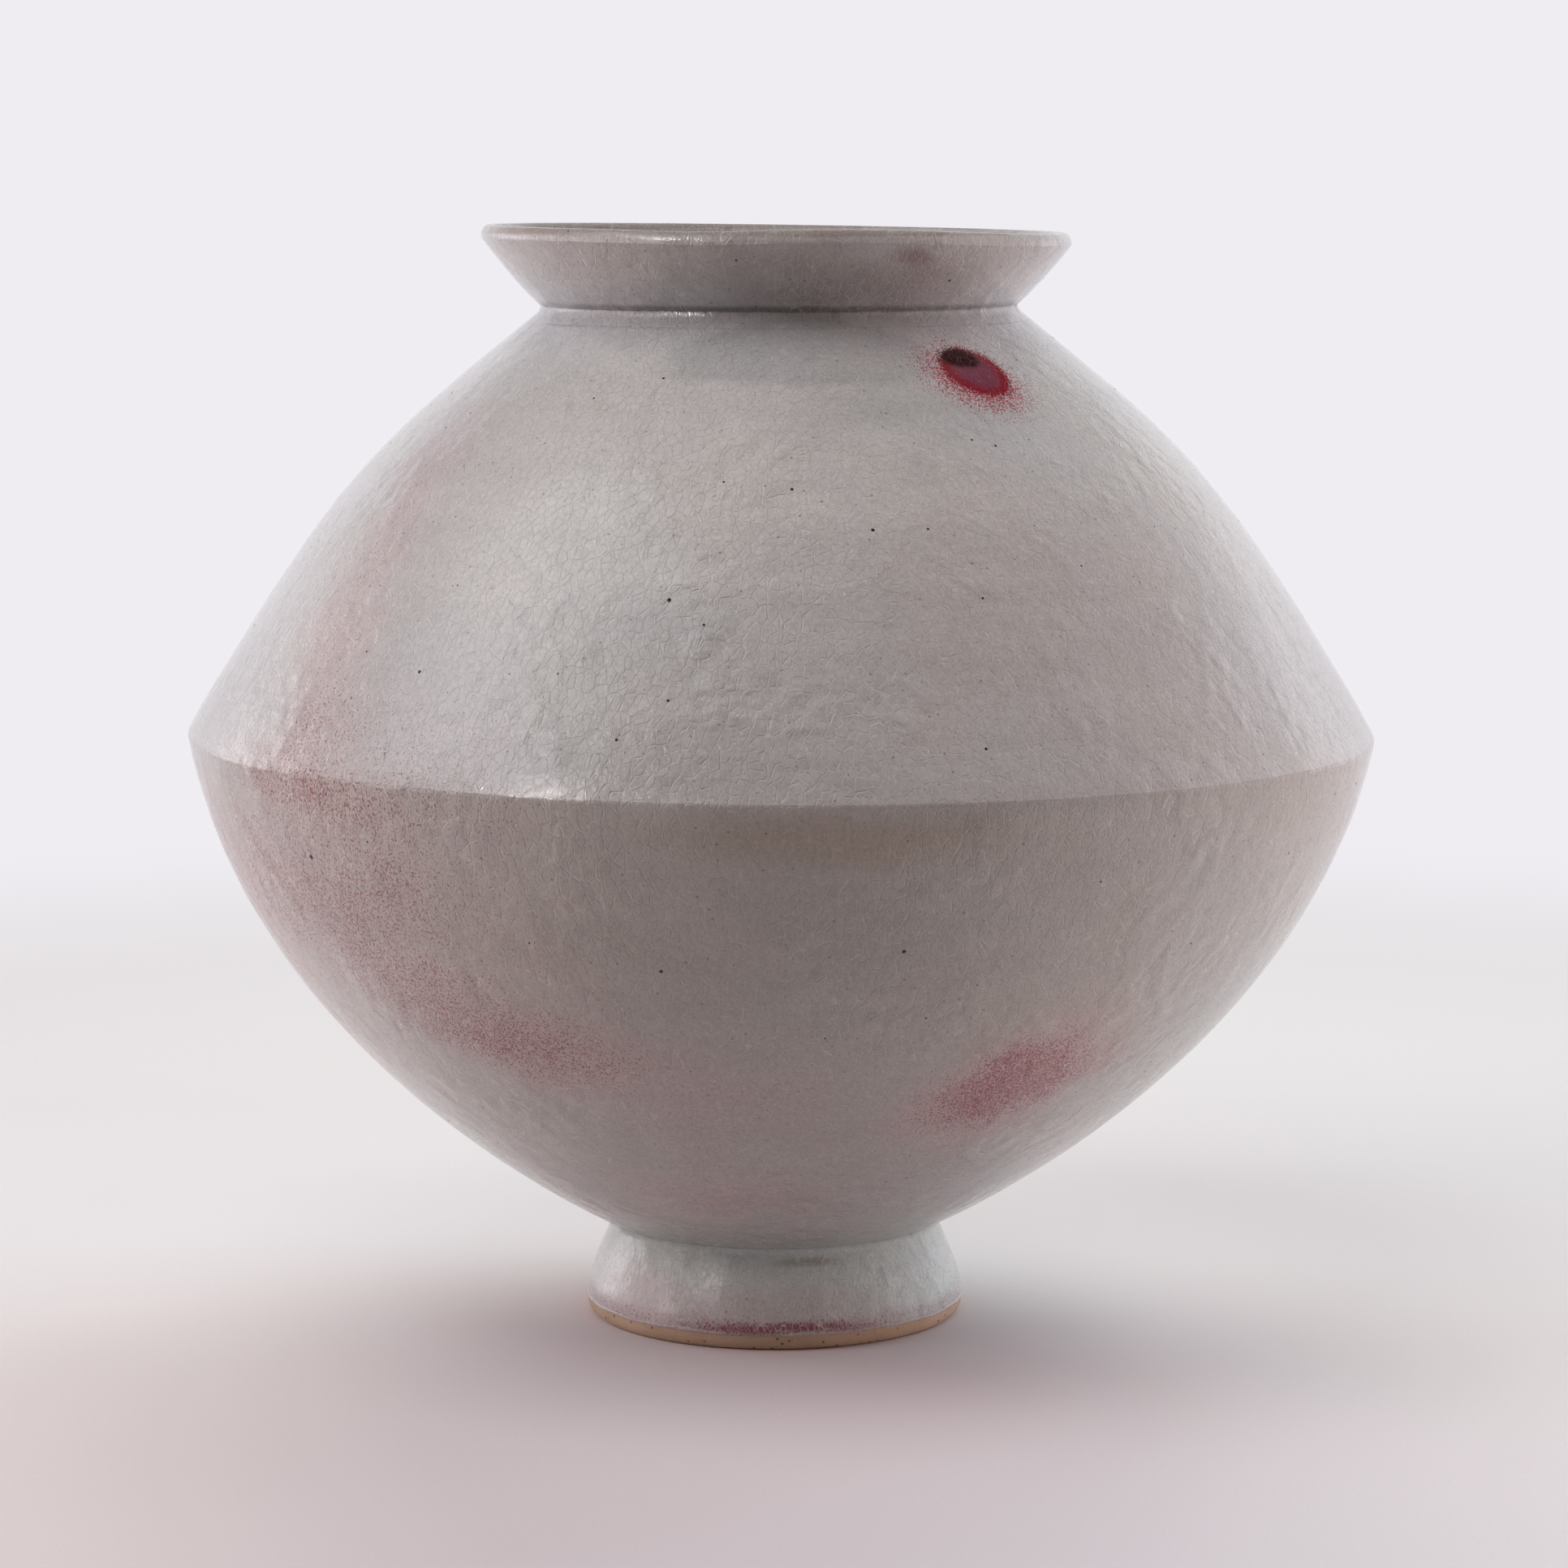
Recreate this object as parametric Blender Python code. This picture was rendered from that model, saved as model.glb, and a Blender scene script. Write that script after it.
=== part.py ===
"""A wheel-thrown spindle vase: two deep bowls joined rim to rim at a sharp waist, standing on a
thrown foot ring and finished with a flared collar. Each section is keyed into the next one and
bedded on clay slip, which is pressed out as a coil or smoothed into a fillet where it can be reached.

Metres, +Z up. The origin is the centre of the foot ring's resting face.
"""

import math

import bmesh
import bpy
from mathutils import Vector

# Foot ring
FOOT_RADIUS = 0.0648
FOOT_BEVEL_WIDTH = 0.0044
FOOT_BEVEL_HEIGHT = 0.0062
FOOT_FACE_WIDTH = 0.0070
FOOT_HEIGHT = 0.0322
FOOT_TOP_RADIUS = 0.0555
FOOT_TOP_WIDTH = 0.0115
FOOT_SIDE_BULGE = 0.0008

# Lower bowl: heights are from joint to joint, and widths across the walls are level ones
LOWER_BOWL_HEIGHT = 0.1684
LOWER_WALL_AT_FOOT = 0.0200
LOWER_SLOPE_AT_WAIST = math.radians(79.25)
LOWER_REACH_AT_WAIST = 0.1135
FLOOR_THICKNESS = 0.0090
FLOOR_CURVE_HEIGHT = 0.0050
FLOOR_LEVEL_RUN = 0.0440

# Waist
WAIST_RADIUS = 0.2000
WAIST_WALL = 0.0070
WAIST_COIL_REACH = 0.0075

# Upper bowl
UPPER_BOWL_HEIGHT = 0.1425
UPPER_SLOPE_AT_WAIST = math.radians(120.1)
UPPER_REACH_AT_WAIST = 0.1063
UPPER_SLOPE_AT_NECK = math.radians(140.8)
UPPER_REACH_AT_NECK = 0.0683

# Neck and collar
NECK_RADIUS = 0.0792
NECK_WALL = 0.0080
NECK_FILLET_REACH = 0.0055
COLLAR_HEIGHT = 0.0262
COLLAR_BULGE = 0.0005
LIP_RADIUS = 0.0988
LIP_WIDTH = 0.0056
LIP_ROUND_HEIGHT = 0.0041

# Joints
SLIP_THICKNESS = 0.0012
FIT_GAP = 0.0003
KEY_WIDTH = 0.0030
KEY_DEPTH = 0.0012
FOOT_FILLET_REACH = 0.0025
FILLET_EDGE = 0.0004

# Facets
SEGMENTS = 48
BOWL_STEPS = 10
COLLAR_STEPS = 4
FOOT_SIDE_STEPS = 3
FLOOR_STEPS = 4
LIP_STEPS = 4
FILLET_STEPS = 3
CROWDING = 1.5
WELD = 0.000001

# Levels of the three joints, and how far the clay faces stand back from them
FOOT_LEVEL = FOOT_HEIGHT
WAIST_LEVEL = FOOT_LEVEL + LOWER_BOWL_HEIGHT
NECK_LEVEL = WAIST_LEVEL + UPPER_BOWL_HEIGHT
LIP_LEVEL = NECK_LEVEL + COLLAR_HEIGHT - LIP_ROUND_HEIGHT
HALF_BED = SLIP_THICKNESS / 2
FACE_SETBACK = HALF_BED + FIT_GAP


def clear_scene():
    for item in list(bpy.data.objects):
        bpy.data.objects.remove(item)


def finish(name, colour, roughness):
    """A Principled BSDF material in one linear colour."""
    material = bpy.data.materials.new(name)
    material.use_nodes = True
    shader = material.node_tree.nodes["Principled BSDF"]
    shader.inputs["Base Color"].default_value = (*colour, 1)
    shader.inputs["Roughness"].default_value = roughness
    shader.inputs["Metallic"].default_value = 0
    material.diffuse_color = (*colour, 1)
    return material


def turn(name, outline, material):
    """One closed body, spun about the Z axis from an outline of (radius, height) points."""
    shape = bmesh.new()
    points = [shape.verts.new((radius, 0, height)) for radius, height in outline]
    edges = [shape.edges.new(pair) for pair in zip(points, points[1:])]
    if min(radius for radius, _ in outline) > 0:
        edges.append(shape.edges.new((points[-1], points[0])))
    bmesh.ops.spin(
        shape,
        geom=points + edges,
        cent=(0, 0, 0),
        axis=(0, 0, 1),
        angle=math.tau,
        steps=SEGMENTS,
        use_merge=True,
    )
    bmesh.ops.remove_doubles(shape, verts=shape.verts, dist=WELD)
    bmesh.ops.recalc_face_normals(shape, faces=shape.faces)
    mesh = bpy.data.meshes.new(name)
    shape.to_mesh(mesh)
    shape.free()
    mesh.materials.append(material)
    mesh.shade_smooth()
    mesh.set_sharp_from_angle(angle=math.radians(30))
    body = bpy.data.objects.new(name, mesh)
    bpy.context.scene.collection.objects.link(body)
    return body


def away(reach, slope):
    """The step of one length along one slope, in (radius, height)."""
    return Vector((reach * math.cos(slope), reach * math.sin(slope)))


def swept(start, start_pull, end_pull, end, steps, crowding=1.0):
    """Points along a cubic curve. Crowding over 1 sets them closer together towards its end."""
    points = []
    for step in range(steps + 1):
        t = 1 - (1 - step / steps) ** crowding
        from_start = (1 - t) ** 3 * start + 3 * (1 - t) ** 2 * t * (start + start_pull)
        from_end = 3 * (1 - t) * t**2 * (end - end_pull) + t**3 * end
        points.append(from_start + from_end)
    return points


def bulged(start, end, bulge, steps):
    """Points along a line that swells outwards by one amount at its middle."""
    along = end - start
    outwards = Vector((along.y, -along.x)).normalized() * bulge * 4 / 3
    return swept(start, along / 3 + outwards, along / 3 - outwards, end, steps)


def inside(outline, width_at_start, width_at_end):
    """The wall's inner side: the outer one moved level towards the axis by an even change of width."""
    last = len(outline) - 1
    return [
        Vector((point.x - width_at_start - (width_at_end - width_at_start) * k / last, point.y))
        for k, point in enumerate(outline)
    ]


def joint_face(inner, outer, level, past_inner=0, past_outer=0):
    """Points across a joint from its inner to its outer side, dipping in the V that keys it."""
    middle = (inner + outer) / 2
    return [
        Vector((inner - past_inner, level)),
        Vector((middle - KEY_WIDTH / 2, level)),
        Vector((middle, level - KEY_DEPTH)),
        Vector((middle + KEY_WIDTH / 2, level)),
        Vector((outer + past_outer, level)),
    ]


def fillet(lower_face, upper_face, reach, side):
    """Slip smoothed into the corner between two walls, from its lower edge to its upper one.

    Each face is the two points of that wall nearest to the joint, the nearer one first. Side is 1 on
    the outside of the vase and -1 on its inside.
    """
    edges = []
    for (corner, beyond), turn_sign in ((lower_face, side), (upper_face, -side)):
        way = beyond - corner
        length = min(reach, way.length)
        way.normalize()
        off_wall = Vector((-way.y, way.x)) * turn_sign
        hidden = corner + way * length + off_wall * FIT_GAP
        edges.append((hidden, hidden + off_wall * FILLET_EDGE, way * length * 0.6))
    (low_hidden, low_edge, low_pull), (high_hidden, high_edge, high_pull) = edges
    return [low_hidden, *swept(low_edge, -low_pull, high_pull, high_edge, FILLET_STEPS), high_hidden]


# Outer and inner sides of the four thrown sections, each from bottom to top

foot_contact = Vector((FOOT_RADIUS - FOOT_BEVEL_WIDTH, 0))
foot_side = bulged(
    Vector((FOOT_RADIUS, FOOT_BEVEL_HEIGHT)),
    Vector((FOOT_TOP_RADIUS, FOOT_LEVEL - FACE_SETBACK)),
    FOOT_SIDE_BULGE,
    FOOT_SIDE_STEPS,
)
foot_bore = [
    foot_contact - Vector((FOOT_FACE_WIDTH, 0)),
    Vector((FOOT_TOP_RADIUS - FOOT_TOP_WIDTH, FOOT_LEVEL - FACE_SETBACK)),
]
lower_side = swept(
    Vector((FOOT_TOP_RADIUS, FOOT_LEVEL + FACE_SETBACK)),
    Vector((0, 0)),
    away(LOWER_REACH_AT_WAIST, LOWER_SLOPE_AT_WAIST),
    Vector((WAIST_RADIUS, WAIST_LEVEL - FACE_SETBACK)),
    BOWL_STEPS,
    CROWDING,
)
upper_side = swept(
    Vector((WAIST_RADIUS, WAIST_LEVEL + FACE_SETBACK)),
    away(UPPER_REACH_AT_WAIST, UPPER_SLOPE_AT_WAIST),
    away(UPPER_REACH_AT_NECK, UPPER_SLOPE_AT_NECK),
    Vector((NECK_RADIUS, NECK_LEVEL - FACE_SETBACK)),
    BOWL_STEPS,
)
collar_side = bulged(
    Vector((NECK_RADIUS, NECK_LEVEL + FACE_SETBACK)),
    Vector((LIP_RADIUS, LIP_LEVEL)),
    COLLAR_BULGE,
    COLLAR_STEPS,
)
lower_inside = inside(lower_side, LOWER_WALL_AT_FOOT, WAIST_WALL)
upper_inside = inside(upper_side, WAIST_WALL, NECK_WALL)
collar_inside = inside(collar_side, NECK_WALL, LIP_WIDTH)


def foot_ring():
    top = joint_face(FOOT_TOP_RADIUS - FOOT_TOP_WIDTH, FOOT_TOP_RADIUS, FOOT_LEVEL - FACE_SETBACK)
    outline = [foot_contact, *foot_side[:-1], *reversed(top), foot_bore[0]]
    glaze = finish("foot_glaze", (0.52, 0.53, 0.49), 0.25)
    return turn("foot_ring", outline, glaze)


def lower_bowl():
    """Its floor is one piece with its wall, and the foot ring is stuck to its trimmed underside."""
    underside = joint_face(FOOT_TOP_RADIUS - FOOT_TOP_WIDTH, FOOT_TOP_RADIUS, FOOT_LEVEL + FACE_SETBACK)
    rim = joint_face(WAIST_RADIUS - WAIST_WALL, WAIST_RADIUS, WAIST_LEVEL - FACE_SETBACK)
    floor_top = FOOT_LEVEL + FACE_SETBACK + FLOOR_THICKNESS
    wall = [point for point in lower_inside if point.y > floor_top + FLOOR_CURVE_HEIGHT]
    climb = (wall[1] - wall[0]).normalized() * FLOOR_CURVE_HEIGHT
    floor = swept(Vector((0, floor_top)), Vector((FLOOR_LEVEL_RUN, 0)), climb, wall[0], FLOOR_STEPS)
    outline = [
        Vector((0, FOOT_LEVEL + FACE_SETBACK)),
        *underside,
        *lower_side[1:-1],
        *reversed(rim),
        *reversed(wall[:-1]),
        *reversed(floor[:-1]),
    ]
    glaze = finish("lower_bowl_glaze", (0.45, 0.42, 0.40), 0.25)
    return turn("lower_bowl", outline, glaze)


def upper_bowl():
    foot = joint_face(WAIST_RADIUS - WAIST_WALL, WAIST_RADIUS, WAIST_LEVEL + FACE_SETBACK)
    mouth = joint_face(NECK_RADIUS - NECK_WALL, NECK_RADIUS, NECK_LEVEL - FACE_SETBACK)
    outline = [*foot, *upper_side[1:-1], *reversed(mouth), *reversed(upper_inside[1:-1])]
    glaze = finish("upper_bowl_glaze", (0.50, 0.48, 0.45), 0.25)
    return turn("upper_bowl", outline, glaze)


def rim_collar():
    """The flared collar, closed at the top by a rounded lip."""
    foot = joint_face(NECK_RADIUS - NECK_WALL, NECK_RADIUS, NECK_LEVEL + FACE_SETBACK)
    centre = Vector((LIP_RADIUS - LIP_WIDTH / 2, LIP_LEVEL))
    lip = []
    for step in range(LIP_STEPS + 1):
        angle = math.pi * step / LIP_STEPS
        across = LIP_WIDTH / 2 * math.cos(angle)
        up = LIP_ROUND_HEIGHT * math.sin(angle)
        lip.append(centre + Vector((across, up)))
    outline = [*foot, *collar_side[1:-1], *lip, *reversed(collar_inside[1:-1])]
    glaze = finish("collar_glaze", (0.47, 0.45, 0.41), 0.25)
    return turn("rim_collar", outline, glaze)


def foot_seam(slip):
    """Slip between the foot ring and the bowl, smoothed off inside and out."""
    inner, outer = FOOT_TOP_RADIUS - FOOT_TOP_WIDTH, FOOT_TOP_RADIUS
    low = joint_face(inner, outer, FOOT_LEVEL - HALF_BED, FIT_GAP, FIT_GAP)
    high = joint_face(inner, outer, FOOT_LEVEL + HALF_BED, FIT_GAP, FIT_GAP)
    outside = fillet(foot_side[:-3:-1], lower_side[:2], FOOT_FILLET_REACH, 1)
    underside = [Vector((inner, FOOT_LEVEL + FACE_SETBACK)), Vector((0, FOOT_LEVEL + FACE_SETBACK))]
    recess = fillet(foot_bore[::-1], underside, FOOT_FILLET_REACH, -1)
    return turn("foot_seam", [*low, *outside, *reversed(high), *reversed(recess)], slip)


def waist_seam(slip):
    """Slip between the two rims, flush with the ridge outside and pressed out as a coil inside."""
    inner = WAIST_RADIUS - WAIST_WALL
    low = joint_face(inner, WAIST_RADIUS, WAIST_LEVEL - HALF_BED, FIT_GAP)
    high = joint_face(inner, WAIST_RADIUS, WAIST_LEVEL + HALF_BED, FIT_GAP)
    coil = fillet(lower_inside[:-3:-1], upper_inside[:2], WAIST_COIL_REACH, -1)
    return turn("waist_seam", [*low, *reversed(high), *reversed(coil)], slip)


def neck_seam(slip):
    """Slip between the shoulder and the collar, with a fillet outside."""
    inner = NECK_RADIUS - NECK_WALL
    low = joint_face(inner, NECK_RADIUS, NECK_LEVEL - HALF_BED, 0, FIT_GAP)
    high = joint_face(inner, NECK_RADIUS, NECK_LEVEL + HALF_BED, 0, FIT_GAP)
    crease = fillet(upper_side[:-3:-1], collar_side[:2], NECK_FILLET_REACH, 1)
    return turn("neck_seam", [*low, *crease, *reversed(high)], slip)


def build_vase():
    clear_scene()
    foot_ring()
    lower_bowl()
    upper_bowl()
    rim_collar()
    slip = finish("joint_slip", (0.40, 0.37, 0.33), 0.45)
    foot_seam(slip)
    waist_seam(slip)
    neck_seam(slip)


build_vase()
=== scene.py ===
"""A stoneware vase thrown in sections, under a pale crackled glaze with copper-red marks.

The parts of this file follow the vase as it is put together, from the clay edge of the foot up to the
lip. The iron spots, the floor, the lights and the camera come after it. Lengths are in metres, heights
are above the floor, and azimuths are in degrees from the front, which is -Y, towards +X.
"""

import math

import bmesh
import bpy
import numpy as np
from mathutils import Matrix, Vector


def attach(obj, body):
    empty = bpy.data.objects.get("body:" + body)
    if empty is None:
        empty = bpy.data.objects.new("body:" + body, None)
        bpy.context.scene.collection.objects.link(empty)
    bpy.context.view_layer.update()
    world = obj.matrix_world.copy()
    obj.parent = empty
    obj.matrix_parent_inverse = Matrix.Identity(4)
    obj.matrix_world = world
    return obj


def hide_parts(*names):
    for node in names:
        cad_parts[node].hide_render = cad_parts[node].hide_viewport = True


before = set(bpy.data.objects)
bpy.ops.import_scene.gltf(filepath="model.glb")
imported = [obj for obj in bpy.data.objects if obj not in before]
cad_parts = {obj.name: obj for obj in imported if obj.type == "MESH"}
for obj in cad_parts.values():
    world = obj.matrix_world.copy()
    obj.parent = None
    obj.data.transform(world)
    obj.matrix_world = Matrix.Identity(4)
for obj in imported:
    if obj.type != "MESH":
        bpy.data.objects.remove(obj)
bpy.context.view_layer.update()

# Clay edge of the foot
# The bottom of the thrown foot ring, wiped clean of glaze so that it doesn't stick to the kiln shelf.
# It is bare buff stoneware, turned to a soft round outside and ground flat where it stands.

MM = 0.001
SPOKES = 360
CONTACT_RADIUS = 60.4 * MM
CONTACT_WIDTH = 7.0 * MM
CLAY_RADIUS = 64.4 * MM
CLAY_ROUND_HEIGHT = 4.9 * MM
CLAY_INNER_ROUND = 1.0 * MM
GLAZE_LINE = 5.3 * MM
BORE_AT_LINE = 51.6 * MM
CLAY_BUFF = "#D6BCA4"
CLAY_TOASTED = "#B29982"
CLAY_SPECK = "#4A3426"
TOASTED_PATCH = 14 * MM
SPECK_SPACING = 3.2 * MM
CLAY_GRIT = 0.7 * MM
GRIT_DEPTH = 0.12 * MM


def heading(length, degrees):
    """A step of one length at one slope, as (radius, height)."""
    return length * np.array((math.cos(math.radians(degrees)), math.sin(math.radians(degrees))))


def drawn(start, leaving, arriving, end, steps):
    """Points along a smooth curve between two points, from the steps to its two handles."""
    start, end = np.array(start, float), np.array(end, float)
    t = np.linspace(0, 1, steps + 1)[:, None]
    from_start = (1 - t) ** 3 * start + 3 * (1 - t) ** 2 * t * (start + leaving)
    from_end = 3 * (1 - t) * t**2 * (end - arriving) + t**3 * end
    return from_start + from_end


def linear(hex_colour):
    """A colour written as sRGB hex, in Blender's linear values."""
    parts = [int(hex_colour[k : k + 2], 16) / 255 for k in (1, 3, 5)]
    return (*(v / 12.92 if v <= 0.04045 else ((v + 0.055) / 1.055) ** 2.4 for v in parts), 1)


def add(tree, kind, inputs=None, **settings):
    """Adds a node with its settings, and its inputs as values or as links from other nodes. A kind that
    doesn't say what nodes it belongs to is one of the shader's.
    """
    made = tree.nodes.new(kind if "Node" in kind else "ShaderNode" + kind)
    for name, value in settings.items():
        setattr(made, name, value)
    for socket, value in (inputs or {}).items():
        if isinstance(value, bpy.types.NodeSocket):
            tree.links.new(value, made.inputs[socket])
        else:
            made.inputs[socket].default_value = value
    return made


def group_of_nodes(name, pattern, seed_kind, sizes, result):
    """A Geometry Nodes tree and what it is given: a pattern mesh, some sizes, a seed and a finish."""
    tree = bpy.data.node_groups.new(name, "GeometryNodeTree")
    kinds = {pattern: "Geometry", **dict.fromkeys(sizes, "Float"), "Seed": seed_kind, "Finish": "Material"}
    for label, kind in kinds.items():
        tree.interface.new_socket(label, in_out="INPUT", socket_type="NodeSocket" + kind)
    tree.interface.new_socket(result, in_out="OUTPUT", socket_type="NodeSocketGeometry")
    return tree, add(tree, "NodeGroupInput").outputs


def throwing_tree():
    """Geometry Nodes that turn an outline on the wheel and leave the marks of the fingers in the wall.

    The outline is a row of points, (radius, 0, height). The rings are a noise that is stretched round
    the pot, and the dents are one that isn't. The line where the glaze ends wanders up and down, on the
    clay and on the glaze alike.
    """
    of_rings = ("Ring Depth", "Ring Spacing", "Ring Reach")
    of_dents = ("Dent Depth", "Dent Width", "Still Radius")
    of_line = ("Glaze Line", "Line Wander", "Line Reach")
    sizes = (*of_rings, *of_dents, *of_line)
    tree, given = group_of_nodes("thrown_on_the_wheel", "Outline", "Float", sizes, "Wall")

    # A grid with one row for each point of the outline and one column for each spoke, rolled up
    rows = add(tree, "GeometryNodeAttributeDomainSize", {0: given["Outline"]}).outputs["Point Count"]
    grid = add(tree, "GeometryNodeMeshGrid", {"Vertices X": SPOKES + 1, "Vertices Y": rows}).outputs["Mesh"]
    index = add(tree, "GeometryNodeInputIndex").outputs[0]
    row = add(tree, "FunctionNodeIntegerMath", {0: index, 1: rows}, operation="MODULO").outputs[0]
    spoke = add(tree, "FunctionNodeIntegerMath", {0: index, 1: rows}, operation="DIVIDE_FLOOR").outputs[0]
    place = add(tree, "GeometryNodeInputPosition").outputs[0]
    sampled = {"Geometry": given["Outline"], "Value": place, "Index": row}
    point = add(tree, "GeometryNodeSampleIndex", sampled, data_type="FLOAT_VECTOR").outputs["Value"]
    share = add(tree, "Math", {0: spoke, 1: SPOKES}, operation="DIVIDE").outputs[0]
    angle = add(tree, "Math", {0: share, 1: math.tau}, operation="MULTIPLY").outputs[0]
    on_spoke = {"Vector": point, "Angle": angle}
    turned = add(tree, "VectorRotate", on_spoke, rotation_type="Z_AXIS").outputs[0]
    wall = add(tree, "GeometryNodeSetPosition", {"Geometry": grid, "Position": turned}).outputs[0]
    weld = {"Geometry": wall, "Distance": 0.002 * MM}
    wall = add(tree, "GeometryNodeMergeByDistance", weld).outputs[0]

    # Rings and dents push the wall in and out, away from the axis, but leave the middle still
    flat = add(tree, "VectorMath", {0: place, 1: (1, 1, 0)}, operation="MULTIPLY").outputs[0]
    radius = add(tree, "VectorMath", {0: flat}, operation="LENGTH").outputs["Value"]
    outward = add(tree, "VectorMath", {0: flat}, operation="NORMALIZE").outputs[0]
    reach = given["Ring Reach"]
    stretch = add(tree, "CombineXYZ", {0: reach, 1: reach, 2: given["Ring Spacing"]}).outputs[0]
    width = given["Dent Width"]
    even = add(tree, "CombineXYZ", {0: width, 1: width, 2: width}).outputs[0]
    push = 0.0
    for spread, depth in ((stretch, given["Ring Depth"]), (even, given["Dent Depth"])):
        spaced = add(tree, "VectorMath", {0: place, 1: spread}, operation="DIVIDE").outputs[0]
        waves = {"Vector": spaced, "W": given["Seed"], "Scale": 1.0, "Detail": 1.0, "Roughness": 0.4}
        noise = add(tree, "TexNoise", waves, noise_dimensions="4D").outputs[0]
        swing = add(tree, "MapRange", {0: noise, 3: -2.0, 4: 2.0}, clamp=False).outputs[0]
        pushed = {0: swing, 1: depth, 2: push}
        push = add(tree, "Math", pushed, operation="MULTIPLY_ADD").outputs[0]
    still = given["Still Radius"]
    twice = add(tree, "Math", {0: still, 1: 2.0}, operation="MULTIPLY").outputs[0]
    clear = add(tree, "MapRange", {0: radius, 1: still, 2: twice}).outputs[0]
    push = add(tree, "Math", {0: push, 1: clear}, operation="MULTIPLY").outputs[0]
    out = add(tree, "VectorMath", {0: outward, "Scale": push}, operation="SCALE").outputs[0]

    # The glaze line wanders within a few tenths of a millimetre
    height = add(tree, "SeparateXYZ", {0: place}).outputs["Z"]
    above = add(tree, "Math", {0: height, 1: given["Glaze Line"]}, operation="SUBTRACT").outputs[0]
    off = add(tree, "Math", {0: above}, operation="ABSOLUTE").outputs[0]
    near = add(tree, "MapRange", {0: off, 1: 0.0, 2: 5 * MM, 3: 1.0, 4: 0.0}).outputs[0]
    apart = given["Line Reach"]
    around = add(tree, "CombineXYZ", {0: apart, 1: apart, 2: 1.0}).outputs[0]
    round_foot = add(tree, "VectorMath", {0: flat, 1: around}, operation="DIVIDE").outputs[0]
    wave = add(tree, "TexNoise", {"Vector": round_foot, "Scale": 1.0, "Detail": 2.0}).outputs[0]
    rise = add(tree, "MapRange", {0: wave, 3: -2.0, 4: 2.0}, clamp=False).outputs[0]
    wander = add(tree, "Math", {0: rise, 1: given["Line Wander"]}, operation="MULTIPLY").outputs[0]
    lift = add(tree, "Math", {0: wander, 1: near}, operation="MULTIPLY").outputs[0]
    up = add(tree, "CombineXYZ", {2: lift}).outputs[0]
    move = add(tree, "VectorMath", {0: out, 1: up}, operation="ADD").outputs[0]
    wall = add(tree, "GeometryNodeSetPosition", {"Geometry": wall, "Offset": move}).outputs[0]

    wall = add(tree, "GeometryNodeRealizeInstances", {"Geometry": wall}).outputs[0]
    finished = {"Geometry": wall, "Material": given["Finish"]}
    wall = add(tree, "GeometryNodeSetMaterial", finished).outputs[0]
    add(tree, "NodeGroupOutput", {"Wall": wall})
    return tree


WHEEL = throwing_tree()
RING_REACH = 260 * MM
DENT_DEPTH = 0.08 * MM
DENT_WIDTH = 15 * MM
STILL_RADIUS = 30 * MM
LINE_WANDER = 0.35 * MM
LINE_REACH = 14 * MM

# Hand-made sections sit a little askew: how far each level leans down to the right, and drifts that way
LEVELS = (0, 32.2 * MM, 200.6 * MM, 343.1 * MM, 367 * MM)
LEANS = (0, 0, math.radians(0.36), math.radians(-0.20), math.radians(0.82))
DRIFTS = (-0.95 * MM, -0.95 * MM, 1.4 * MM, 0.6 * MM, -0.3 * MM)
WAVY_FROM = 350 * MM
WAVY_TO = 366 * MM
LIP_WAVES = ((17, 20, 1.2 * MM), (-14, 8, -0.5 * MM))
SHARP_FROM = 38

# The throwing rings of a section are a depth, a spacing and a seed
CLAY_RINGS = (0.05 * MM, 6 * MM, 1.0)


def made_with(tree, name, pattern, inputs):
    """The plain mesh that a tree makes from a pattern mesh, as an object. Inputs go by their names."""
    body = bpy.data.objects.new(name, pattern)
    bpy.context.scene.collection.objects.link(body)
    nodes = body.modifiers.new(tree.name, "NODES")
    nodes.node_group = tree
    sockets = {item.name: item.identifier for item in tree.interface.items_tree}
    for label, value in inputs.items():
        nodes[sockets[label]] = value
    body.update_tag()
    ready = body.evaluated_get(bpy.context.evaluated_depsgraph_get())
    mesh = bpy.data.meshes.new_from_object(ready)
    body.modifiers.clear()
    body.data = mesh
    mesh.name = name
    return body


def settled(places):
    """Points of the true round vase, moved to where the hand-made one has them."""
    places = np.asarray(places, float)
    heights = places[:, 2].copy()
    moved = places.copy()
    moved[:, 2] -= np.tan(np.interp(heights, LEVELS, LEANS)) * places[:, 0]
    moved[:, 0] += np.interp(heights, LEVELS, DRIFTS)
    azimuths = np.degrees(np.arctan2(places[:, 0], -places[:, 1]))
    wavy = np.interp(heights, (WAVY_FROM, WAVY_TO), (0, 1))
    for middle, width, rise in LIP_WAVES:
        moved[:, 2] += rise * wavy * np.exp(-(((azimuths - middle) / width) ** 2) / 2)
    return moved


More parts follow.
